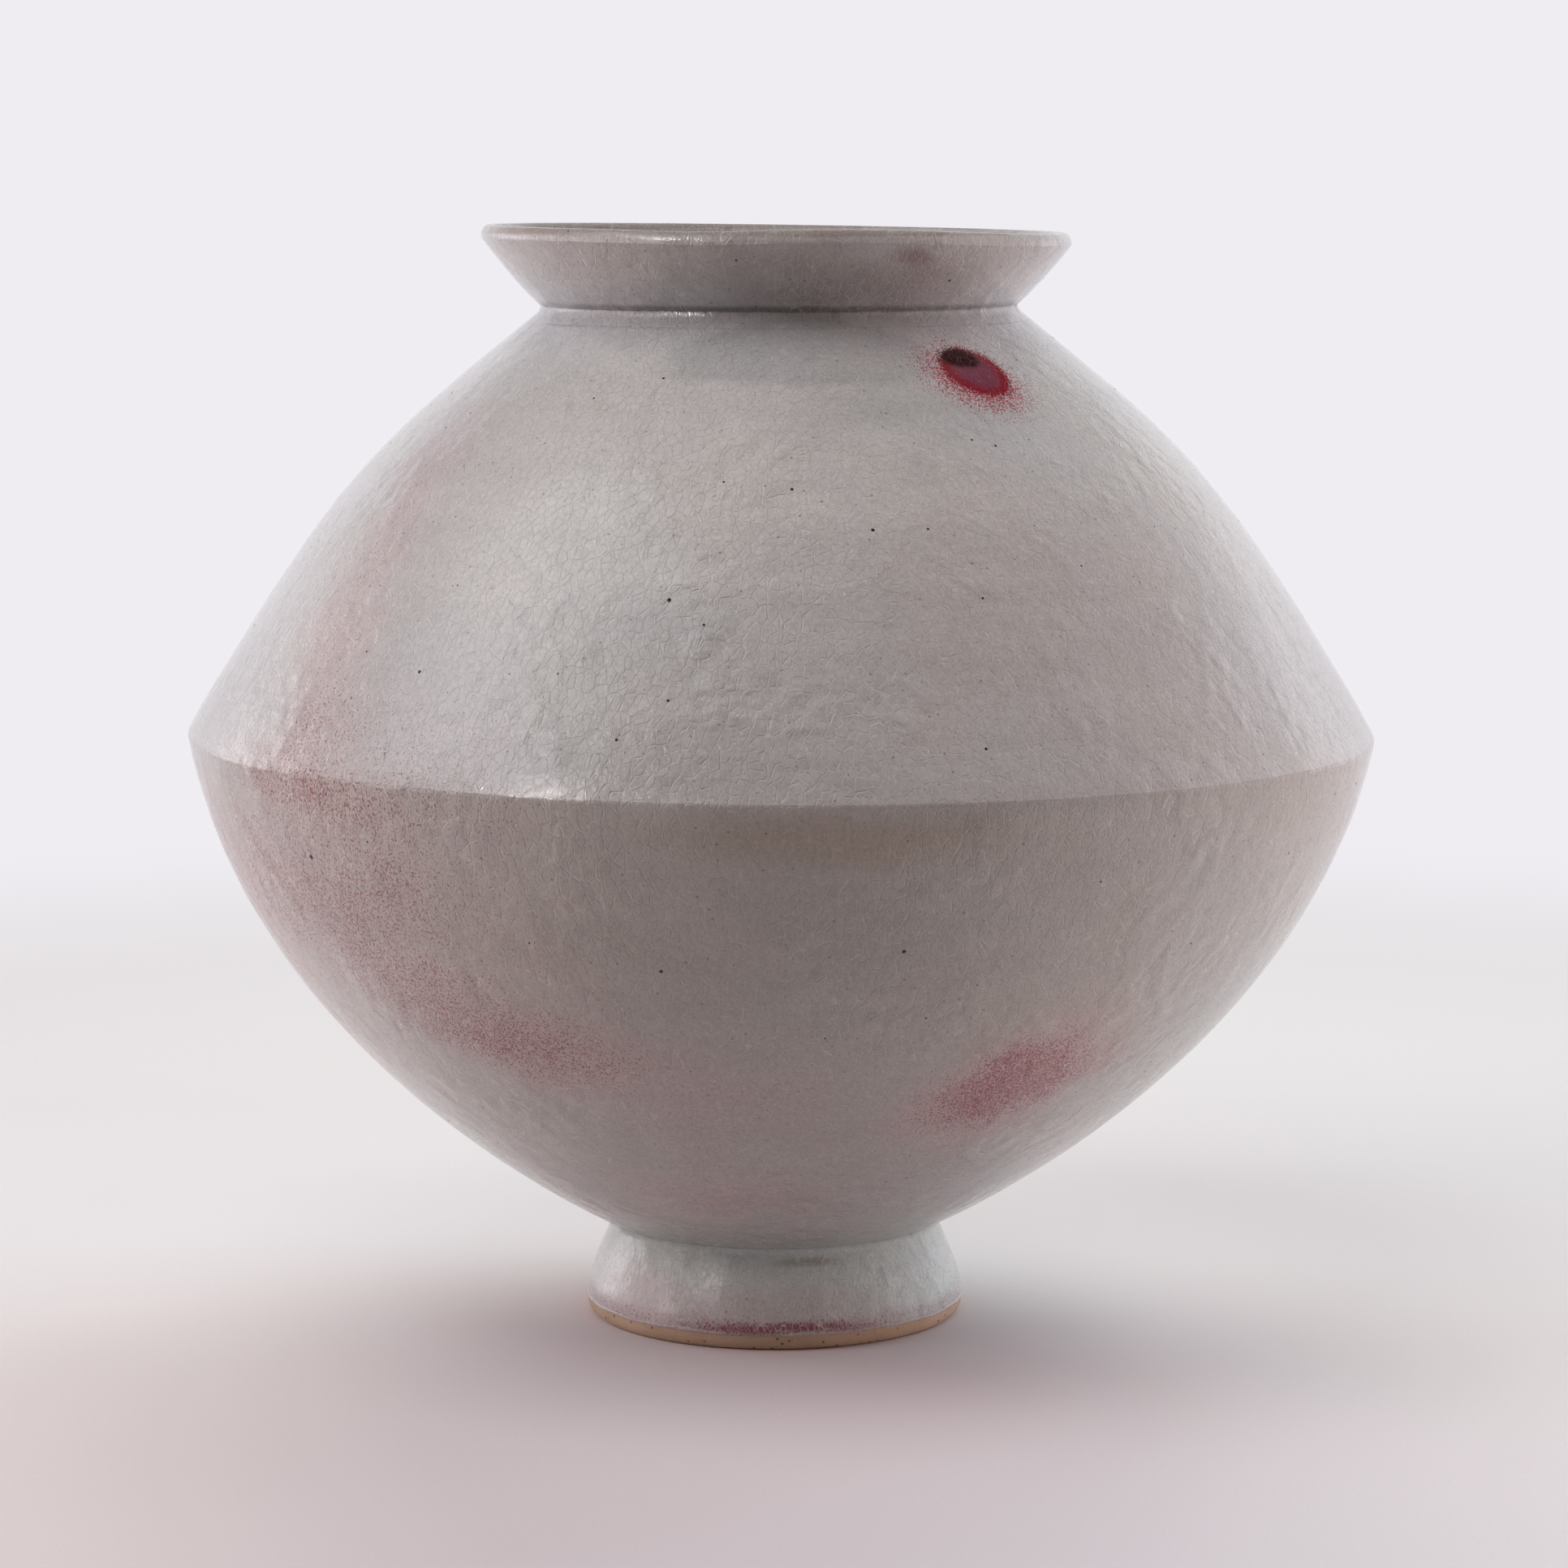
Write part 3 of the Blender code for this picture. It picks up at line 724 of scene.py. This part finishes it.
lower_outline = np.vstack((underside[::-1], lower_wall, lower_inside[::-1], floor_inside[::-1][1:]))
lower_bowl = thrown("lower_bowl_glazed", lower_outline, lower_glaze, *LOWER_RINGS)
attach(lower_bowl, "root")
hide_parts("lower_bowl")

# Waist ridge
# The two rims were luted edge to edge and the joint was worked to a crisp ridge outside. Inside, the
# slip was pressed into a coil and smoothed over with a finger.

waist_outline = np.vstack((waist_round, coil_round[::-1]))
waist = thrown("waist_ridge_glazed", waist_outline, lower_glaze, *LOWER_RINGS)
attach(waist, "root")
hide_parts("waist_seam")

# Upper bowl
# The second bowl, thrown apart and turned over onto the first. Soft throwing rings run round its
# shoulder, and a drop of copper has burned to a dark red thumb mark high on the right.

COLLAR_START_SLOPE = 43.5
COLLAR_END_SLOPE = 54.0
COLLAR_REACH = 10.0 * MM
LIP_RADIUS = 98.8 * MM
LIP_WIDTH = 5.6 * MM
LIP_LEVEL = 365.2 * MM
LIP_ROUND_HEIGHT = 4.1 * MM
NECK_FILLET_RUN = 6.5 * MM
NECK_CREASE_RUN = 1.2 * MM
NECK_CREASE_SLOPE = 98
NECK_INNER_ROUND = 5.0 * MM
UPPER_PALE = "#CAC6C4"
UPPER_COOL = "#C6C4C5"
UPPER_PAINTED_LIGHT = "#DEDBD9"
UPPER_DARKER = "#A39DA0"
UPPER_WARM = "#A99D9B"
NECK_COOL = "#B8B9BF"
NECK_POOL_AND_SHADE = "#9EA1A2"
NECK_SHADE = "#62645F"
NECK_WANDER = 0.2 * MM
MARK_RED = "#8A0A1E"
MARK_MAUVE = "#7C3B4E"
MARK_BURNT = "#2C0004"
MARK_DUST = "#A3283F"
UPPER_RINGS = (0.14 * MM, 9 * MM, 3.0)

collar_wall = drawn(
    (NECK_RADIUS, NECK_LEVEL),
    heading(COLLAR_REACH, COLLAR_START_SLOPE),
    heading(COLLAR_REACH, COLLAR_END_SLOPE),
    (LIP_RADIUS, LIP_LEVEL),
    24,
)
collar_inside = inner_side(collar_wall, NECK_WALL, LIP_WIDTH)
upper_wall = cut_back(upper_wall[::-1], NECK_FILLET_RUN)[::-1]
collar_wall = cut_back(collar_wall, NECK_CREASE_RUN)
neck_round = drawn(
    upper_wall[-1],
    way(upper_wall[-1] - upper_wall[-2]) * NECK_FILLET_RUN * 0.55,
    heading(NECK_FILLET_RUN * 0.35, NECK_CREASE_SLOPE),
    collar_wall[0],
    12,
)
upper_inside, throat_round, collar_inside = softened(upper_inside, collar_inside, NECK_INNER_ROUND, 8)


def thumb_mark(tree, place, colour, dust):
    """A drop of copper red: burned almost black and dry at one side, mauve in its middle, with a red rim
    that breaks up into dust. The second value is how far it is burned.
    """
    far = mark_distance(tree, place, upper_wall, 38.2, 324.3 * MM, 12.8 * MM, 11.2 * MM, -41)
    uneven = add(tree, "MapRange", {0: dust, 1: 0.2, 2: 0.8, 3: -0.14, 4: 0.14}).outputs[0]
    broken = add(tree, "Math", {0: far, 1: uneven}, operation="SUBTRACT").outputs[0]
    halo = mark_distance(tree, place, upper_wall, 37.4, 322.6 * MM, 23 * MM, 19 * MM, -35)
    needed = add(tree, "MapRange", {0: halo, 1: 0.4, 2: 1.25, 3: 0.36, 4: 0.70}).outputs[0]
    spare = add(tree, "Math", {0: dust, 1: needed}, operation="SUBTRACT").outputs[0]
    dusted = add(tree, "MapRange", {0: spare, 1: 0.0, 2: 0.09, 3: 0.0, 4: 0.85}).outputs[0]
    shade = linear(MARK_DUST)
    colour = add(tree, "Mix", {0: dusted, 6: colour, 7: shade}, data_type="RGBA").outputs[2]
    rim = add(tree, "MapRange", {0: broken, 1: 0.50, 2: 0.85}).outputs[0]
    molten = {0: rim, 6: linear(MARK_MAUVE), 7: linear(MARK_RED)}
    red = add(tree, "Mix", molten, data_type="RGBA").outputs[2]
    burnt = mark_distance(tree, place, upper_wall, 36.8, 329.0 * MM, 7.8 * MM, 4.6 * MM, -10)
    fading = {0: burnt, 1: 0.7, 2: 1.35, 3: 0.97, 4: 0.0}
    black = add(tree, "MapRange", fading, interpolation_type="SMOOTHSTEP").outputs[0]
    red = add(tree, "Mix", {0: black, 6: red, 7: linear(MARK_BURNT)}, data_type="RGBA").outputs[2]
    body = add(tree, "MapRange", {0: broken, 1: 0.94, 2: 1.10, 3: 1.0, 4: 0.0}).outputs[0]
    return add(tree, "Mix", {0: body, 6: colour, 7: red}, data_type="RGBA").outputs[2], black


POOLED_NECK = band_at(326, 338, 344, 358, tint=0.5, colour=NECK_COOL)
# A dark line in the crease under the collar: painted shade, over glaze that pooled thick there
NECK_LINE = band_at(343.2, 344.0, 344.6, 346.4, tint=0.7, colour=NECK_SHADE)
UPPER_HAZES = (
    haze_on(upper_wall, -53, 244, 22, 44, tint=0.20, dust=0.34, turn=10),
    haze_on(upper_wall, -55, 290, 22, 40, tint=0.22, dust=0.28, turn=20),
    haze_on(upper_wall, 32, 250, 90, 60, tint=0.14, colour=UPPER_WARM),
    # Darker ovals just above the ridge, at the front and at both sides
    haze_on(upper_wall, -10, 213, 84, 13, tint=0.24, colour=UPPER_DARKER),
    haze_on(upper_wall, -78, 214, 60, 34, tint=0.32, colour=UPPER_DARKER),
    haze_on(upper_wall, 78, 214, 60, 34, tint=0.32, colour=UPPER_DARKER),
    # Painted light: a paler oval on the front left of the shoulder, where the light from the left falls
    haze_on(upper_wall, -14, 288, 88, 52, tint=0.65, colour=UPPER_PAINTED_LIGHT),
    # Painted shade: a darker oval on the right of the shoulder, turned from the light. The oval after it is
    # glaze pooled at the front under the neck
    haze_on(upper_wall, 24, 318, 44, 20, tint=0.32, colour=NECK_POOL_AND_SHADE),
    haze_on(upper_wall, 5, 332.5, 48, 17, tint=0.5, colour=NECK_POOL_AND_SHADE, core=0.8, rim=1.05, ragged=0.25),
)
upper_glaze = crackled_glaze(
    "upper_bowl_crackle_glaze",
    UPPER_PALE,
    UPPER_COOL,
    (POOLED_NECK, NECK_LINE),
    WAIST_HAZES + UPPER_HAZES,
    thumb_mark,
    wander=NECK_WANDER,
    crackle=0.22,
)
upper_outline = np.vstack((upper_wall, upper_inside[::-1]))
upper_bowl = thrown("upper_bowl_glazed", upper_outline, upper_glaze, *UPPER_RINGS)
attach(upper_bowl, "root")
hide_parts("upper_bowl")

# Neck joint
# Slip between the shoulder and the collar, drawn to a smooth round with the finger. The bowl's glaze
# runs on over it, and lies thick and cool there.

# A dark line of painted shade lies in the crease where this joint meets the collar
neck_outline = np.vstack((neck_round, throat_round[::-1]))
neck = thrown("neck_joint_glazed", neck_outline, upper_glaze, *UPPER_RINGS)
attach(neck, "root")
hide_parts("neck_seam")

# Collar
# A flared collar thrown on last, with a rounded lip where the glaze has run thin and brown. The lip
# rises and dips a little round the front.

COLLAR_PALE = "#C2BCBA"
COLLAR_COOL = "#BCBABA"
COLLAR_BROWN = "#75655F"
COLLAR_ROSE = "#8A5A5C"
LIP_BROWN = "#7E675B"
COLLAR_RINGS = (0.12 * MM, 8 * MM, 4.0)

lip_middle = LIP_RADIUS - LIP_WIDTH / 2
lip_turns = np.linspace(0, math.pi, 17)
lip = [
    (
        lip_middle + LIP_WIDTH / 2 * math.cos(turn),
        LIP_LEVEL + LIP_ROUND_HEIGHT * math.sin(turn),
    )
    for turn in lip_turns
]
LIP_THIN = band_at(367.4, 368.6, 371, 372, tint=0.45, colour=LIP_BROWN)
COLLAR_HAZES = (
    haze_on(collar_wall, 27, 361.5, 8.5, 3.4, tint=0.45, colour=COLLAR_ROSE, turn=-9, ragged=0.3),
    haze_on(collar_wall, 15, 353, 52, 16, tint=0.42, colour=COLLAR_BROWN, ragged=1.0),
    haze_on(collar_wall, -46, 357, 30, 14, tint=0.05),
)
collar_glaze = crackled_glaze(
    "collar_crackle_glaze",
    COLLAR_PALE,
    COLLAR_COOL,
    (POOLED_NECK, NECK_LINE, LIP_THIN),
    COLLAR_HAZES,
    wander=NECK_WANDER,
    crackle=0.3,
)
collar_outline = np.vstack((collar_wall[:-1], lip, collar_inside[::-1][1:]))
collar = thrown("collar_glazed", collar_outline, collar_glaze, *COLLAR_RINGS)
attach(collar, "root")
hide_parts("rim_collar")

# Iron spots
# Grains of iron in the clay melt through the glaze as black dots, a little proud of it. The larger ones
# stand where they are seen on the front, and small ones are scattered all round.

IRON_BLACK = "#17100D"
IRON_BROWN = "#33231B"
IRON_MOTTLE = 0.4 * MM
SPOT_FLATNESS = 0.22
SPOTS_PER_AREA = 420
SPOT_SEED = 7
SMALLEST_SPOT = 0.22 * MM
LARGEST_SPOT = 0.42 * MM

# Each is an azimuth in degrees, and then a height and a radius in millimetres
LARGE_SPOTS = (
    (-30, 366.4, 0.45), (-7.8, 360.6, 0.40), (38, 353.9, 0.50), (-20.8, 323.6, 0.50), (28.8, 304.7, 0.45),
    (32.2, 303.2, 0.50), (1.5, 291.4, 0.55), (11, 278.8, 0.60), (17.8, 279.5, 0.45), (22.2, 259.5, 0.45),
    (-12, 258.7, 0.70), (-8, 251.8, 0.45), (-38.5, 233.6, 0.60), (-10.8, 230.9, 0.50), (-15.2, 217.5, 0.50),
    (18.8, 215.1, 0.50), (-50, 174.2, 0.80), (11.8, 153.5, 0.65), (-11.5, 146.2, 0.60),
)


def spotting_tree():
    """Geometry Nodes that scatter flattened drops over the outside of a wall."""
    sizes = ("Spots per Area", "Smallest", "Largest", "Flatness")
    tree, given = group_of_nodes("iron_spots_on_a_wall", "Wall", "Int", sizes, "Spots")
    place = add(tree, "GeometryNodeInputPosition").outputs[0]
    flat = add(tree, "VectorMath", {0: place, 1: (1, 1, 0)}, operation="MULTIPLY").outputs[0]
    outward = add(tree, "VectorMath", {0: flat}, operation="NORMALIZE").outputs[0]
    normal = add(tree, "GeometryNodeInputNormal").outputs[0]
    facing = add(tree, "VectorMath", {0: normal, 1: outward}, operation="DOT_PRODUCT").outputs["Value"]
    outside = add(tree, "FunctionNodeCompare", {0: facing, 1: 0.3}, operation="GREATER_THAN").outputs[0]
    often, seed = given["Spots per Area"], given["Seed"]
    scatter = {"Mesh": given["Wall"], "Selection": outside, "Seed": seed, "Density": often}
    points = add(tree, "GeometryNodeDistributePointsOnFaces", scatter)
    drop = add(tree, "GeometryNodeMeshIcoSphere", {"Radius": 1.0, "Subdivisions": 2}).outputs["Mesh"]
    width = add(tree, "FunctionNodeRandomValue", data_type="FLOAT")
    least, most = [socket for socket in width.inputs if socket.type == "VALUE"][:2]
    tree.links.new(given["Smallest"], least)
    tree.links.new(given["Largest"], most)
    tree.links.new(seed, width.inputs["Seed"])
    size = [socket for socket in width.outputs if socket.type == "VALUE"][0]
    thick = add(tree, "Math", {0: size, 1: given["Flatness"]}, operation="MULTIPLY").outputs[0]
    scale = add(tree, "CombineXYZ", {0: size, 1: size, 2: thick}).outputs[0]
    set_down = {"Points": points.outputs["Points"], "Rotation": points.outputs["Rotation"]}
    drops = {**set_down, "Instance": drop, "Scale": scale}
    spots = add(tree, "GeometryNodeInstanceOnPoints", drops).outputs[0]
    spots = add(tree, "GeometryNodeRealizeInstances", {"Geometry": spots}).outputs[0]
    finished = {"Geometry": spots, "Material": given["Finish"]}
    spots = add(tree, "GeometryNodeSetMaterial", finished).outputs[0]
    add(tree, "NodeGroupOutput", {"Spots": spots})
    return tree


def molten_iron():
    """Iron oxide melted through the glaze: black-brown and glossy, with a mottled skin."""
    material, tree = blank_material("iron_oxide_melted_in_glaze")
    place = add(tree, "TexCoord").outputs["Object"]
    skin = add(tree, "TexNoise", {"Vector": place, "Scale": 1 / IRON_MOTTLE, "Detail": 2.0}).outputs[0]
    mottled = {0: skin, 6: linear(IRON_BLACK), 7: linear(IRON_BROWN)}
    body = add(tree, "Mix", mottled, data_type="RGBA").outputs[2]
    rough = add(tree, "MapRange", {0: skin, 3: 0.25, 4: 0.5}).outputs[0]
    shader = add(tree, "BsdfPrincipled", {"Base Color": body, "Roughness": rough, "IOR": 1.5})
    add(tree, "OutputMaterial", {"Surface": shader.outputs[0]})
    return material


iron = molten_iron()
spotter = spotting_tree()
settings = {
    "Spots per Area": SPOTS_PER_AREA,
    "Smallest": SMALLEST_SPOT,
    "Largest": LARGEST_SPOT,
    "Flatness": SPOT_FLATNESS,
    "Seed": SPOT_SEED,
    "Finish": iron,
}
for bowl, bowl_wall, slot in (
    (lower_bowl, lower_wall, "lower_bowl_glaze"),
    (upper_bowl, upper_wall, "upper_bowl_glaze"),
    (collar, collar_wall, "collar_glaze"),
):
    spots = made_with(spotter, bowl.name.replace("glazed", "iron_spots"), bowl.data.copy(), settings)
    drops = bmesh.new()
    drops.from_mesh(spots.data)
    for azimuth, *measures in LARGE_SPOTS:
        height, radius = (measure * MM for measure in measures)
        if not bowl_wall[0][1] <= height <= bowl_wall[-1][1]:
            continue
        middle = settled([on_wall(bowl_wall, azimuth, height)[0]])[0]
        _, spot, normal, _ = bowl.closest_point_on_mesh(Vector(middle))
        turn = normal.to_track_quat("Z", "Y").to_matrix().to_4x4()
        shape = Matrix.Diagonal((radius, radius, radius * SPOT_FLATNESS, 1))
        laid = Matrix.Translation(spot) @ turn @ shape
        bmesh.ops.create_icosphere(drops, subdivisions=2, radius=1, matrix=laid)
    for face in drops.faces:
        face.material_index = 0
    drops.to_mesh(spots.data)
    drops.free()
    spots.data.materials.clear()
    spots.data.materials.append(iron)
    spots.data.shade_smooth()
    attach(spots, "root")

# Floor
# A pale paper floor that takes the vase's soft shadow and goes over into the plain background.

BACKDROP = "#EFEDF2"
FLOOR_COLOUR = "#E5DEE1"
FLOOR_RADIUS = 30.0
SHADE_RADIUS = 0.35
PLAIN_RADIUS = 1.0
PAPER_FIBRE = 1.2 * MM
FRONT_DIM = 0.1
FRONT_EDGE = -0.32
FLOOR_DIMS = (-1.6, 0.3)
FLOOR_GLOW = "#E5E1E3"
GLOW_ENDS = (0.75, 1.15)
FAR_GREY = 0.86


def background_level(tree, depth, near, far):
    """What camera, glossy and transmission rays see of the background: plain to the camera, and dimmer
    towards the front of the room to the others. The second value is 1 for these rays and 0 for light.
    """
    ray = add(tree, "LightPath").outputs
    mirrored = {0: ray["Is Glossy Ray"], 1: ray["Is Transmission Ray"]}
    other = add(tree, "Math", mirrored, operation="MAXIMUM").outputs[0]
    seen = add(tree, "Math", {0: ray["Is Camera Ray"], 1: other}, operation="MAXIMUM").outputs[0]
    forward = {0: depth, 1: near, 2: far, 3: FRONT_DIM, 4: 1.0}
    dim = add(tree, "MapRange", forward, interpolation_type="SMOOTHSTEP").outputs[0]
    level = add(tree, "Mix", {0: other, 2: 1.0, 3: dim}).outputs[0]
    return level, seen


floor_mesh = bpy.data.meshes.new("floor")
corners = [(x, y, 0) for x, y in ((-1, -1), (1, -1), (1, 1), (-1, 1))]
floor_mesh.from_pydata([Vector(corner) * FLOOR_RADIUS for corner in corners], [], [(0, 1, 2, 3)])
floor = bpy.data.objects.new("floor", floor_mesh)
bpy.context.scene.collection.objects.link(floor)
paper, tree = blank_material("matt_background_paper")
place = add(tree, "TexCoord").outputs["Object"]
away = add(tree, "VectorMath", {0: place}, operation="LENGTH").outputs["Value"]
outwards = {0: away, 1: SHADE_RADIUS, 2: PLAIN_RADIUS}
plain = add(tree, "MapRange", outwards, interpolation_type="SMOOTHERSTEP").outputs[0]
depth = add(tree, "SeparateXYZ", {0: place}).outputs["Y"]
level, seen = background_level(tree, depth, *FLOOR_DIMS)
share = add(tree, "Math", {0: plain, 1: seen}, operation="MULTIPLY").outputs[0]
fibre = add(tree, "TexNoise", {"Vector": place, "Scale": 1 / PAPER_FIBRE, "Detail": 2.0}).outputs[0]
tooth = add(tree, "MapRange", {0: fibre, 1: 0.3, 2: 0.7, 3: 0.985, 4: 1.015}).outputs[0]
bounce = add(tree, "MapRange", {0: depth, 1: FRONT_EDGE - 0.3, 2: FRONT_EDGE, 3: 0.25, 4: 1.0})
greyer = add(tree, "MapRange", {0: depth, 1: 0.0, 2: SHADE_RADIUS, 3: 1.0, 4: FAR_GREY}).outputs[0]
unseen = add(tree, "Mix", {0: seen, 2: bounce.outputs[0], 3: greyer}).outputs[0]
lit = add(tree, "Math", {0: tooth, 1: unseen}, operation="MULTIPLY").outputs[0]
sheet = add(tree, "VectorMath", {0: linear(FLOOR_COLOUR)[:3], "Scale": lit}, operation="SCALE")
matt = add(tree, "BsdfDiffuse", {"Color": sheet.outputs[0]}).outputs[0]
far_off = add(tree, "MapRange", {0: away, 1: GLOW_ENDS[0], 2: GLOW_ENDS[1]}).outputs[0]
tints = {0: far_off, 6: linear(FLOOR_GLOW), 7: linear(BACKDROP)}
tint = add(tree, "Mix", tints, data_type="RGBA").outputs[2]
glow = add(tree, "Emission", {"Color": tint, "Strength": level}).outputs[0]
surface = add(tree, "MixShader", {0: share, 1: matt, 2: glow}).outputs[0]
add(tree, "OutputMaterial", {"Surface": surface})
floor_mesh.materials.append(paper)

# Light
# Window light from the left, softer panels at the right and overhead, and a strong one behind, whose
# shadow falls forward. The camera's side is the dark one, and the ceiling is dark in the glaze. Small
# lamps at the front left make sparkles.

ROOM_LIGHT = 0.01
ROOM_COLOUR = "#FBF7F6"
ROOM_DIMS = (-0.9, 0.1)
CEILING_DIM = 0.05
VASE_MIDDLE = Vector((0, 0, 0.19))

world = bpy.data.worlds.new("studio")
bpy.context.scene.world = world
world.use_nodes = True
tree = world.node_tree
tree.nodes.clear()
direction = add(tree, "TexCoord").outputs["Generated"]
parts = add(tree, "SeparateXYZ", {0: direction}).outputs
dome = add(tree, "Background", {"Color": linear(ROOM_COLOUR), "Strength": ROOM_LIGHT}).outputs[0]
level, seen = background_level(tree, parts["Y"], *ROOM_DIMS)
overhead = add(tree, "MapRange", {0: parts["Z"], 1: 0.28, 2: 0.56, 3: 1.0, 4: CEILING_DIM})
level = add(tree, "Math", {0: level, 1: overhead.outputs[0]}, operation="MULTIPLY").outputs[0]
backdrop = add(tree, "Background", {"Color": linear(BACKDROP), "Strength": level}).outputs[0]
either = add(tree, "MixShader", {0: seen, 1: dome, 2: backdrop}).outputs[0]
add(tree, "OutputWorld", {"Surface": either})


def panel(
    name, azimuth, elevation, distance, width, height, brightness, colour="#FFFFFF", shine=True, spread=True
):
    """A light that faces the vase. Its brightness is what a camera would see of it, with 1 as white. One
    without shine leaves no highlight, and one without spread leaves nothing but its highlight.
    """
    light = bpy.data.lights.new(name, "AREA")
    light.shape = "RECTANGLE"
    light.size = width
    light.size_y = height
    light.energy = brightness * math.pi * width * height
    light.color = linear(colour)[:3]
    body = bpy.data.objects.new(name, light)
    bpy.context.scene.collection.objects.link(body)
    turn, rise = math.radians(azimuth), math.radians(elevation)
    away = Vector((math.sin(turn) * math.cos(rise), -math.cos(turn) * math.cos(rise), math.sin(rise)))
    body.location = VASE_MIDDLE + away * distance
    body.rotation_euler = away.to_track_quat("Z", "Y").to_euler()
    body.visible_camera = False
    body.visible_glossy = shine
    body.visible_diffuse = spread


panel("left_window", -75, 22, 1.7, 0.8, 1.0, 4.4, "#FFE6DD", shine=False)
panel("left_panel", -117, 8, 1.8, 0.8, 1.2, 2.0, "#E2E6FF", shine=False)
panel("left_top_panel", -70, 50, 1.7, 1.2, 1.0, 1.65, "#DFF1FF")
panel("front_top_panel", -35, 65, 1.7, 1.0, 1.0, 2.1, "#FFFFF8", shine=False)
panel("right_top_panel", 75, 50, 1.7, 1.2, 1.0, 1.7, "#FFEAE9", shine=False)
panel("right_panel", 118, 10, 2.0, 1.2, 1.6, 1.4, "#BCDDFF", shine=False)
panel("right_low_panel", 80, 3, 1.5, 1.0, 0.8, 3.5, "#FFE4DA", shine=False)
panel("back_panel", 180, 40, 2.0, 1.8, 1.0, 4.5, "#FEFFF1", shine=False)
panel("back_right_panel", 140, 40, 2.0, 1.2, 1.0, 3.4, "#D4F7FF", shine=False)
panel("left_shine", -120, 4, 1.7, 0.7, 0.8, 1.6, spread=False)
panel("left_high_shine", -75, 42, 1.7, 0.7, 0.6, 1.8, "#FFF4F0", spread=False)
panel("right_shine", 132, 4, 2.0, 0.7, 1.0, 0.5, "#E6F0FF", spread=False)
panel("spark_lamp", -47, 34, 1.8, 0.12, 0.12, 130.0, spread=False)
panel("middle_spark_lamp", -46, 25, 1.8, 0.08, 0.08, 90.0, spread=False)
panel("low_spark_lamp", -70, 5, 1.8, 0.08, 0.08, 100.0, spread=False)

# Camera
# It stands level with the lip and looks slightly down, with a long lens.

CAMERA_DISTANCE = 1.600
CAMERA_HEIGHT = 0.3916
CAMERA_PITCH = 7.48
CAMERA_PAN = 0.081
LENS = 108.93
SENSOR_WIDTH = 36

camera = bpy.data.cameras.new("camera")
camera.lens = LENS
camera.sensor_width = SENSOR_WIDTH
camera.clip_start = 0.05
camera.clip_end = 200
eye = bpy.data.objects.new("camera", camera)
eye.location = (0, -CAMERA_DISTANCE, CAMERA_HEIGHT)
eye.rotation_euler = (math.radians(90 - CAMERA_PITCH), 0, math.radians(-CAMERA_PAN))
bpy.context.scene.collection.objects.link(eye)
bpy.context.scene.camera = eye
bpy.context.scene.view_settings.view_transform = "Standard"
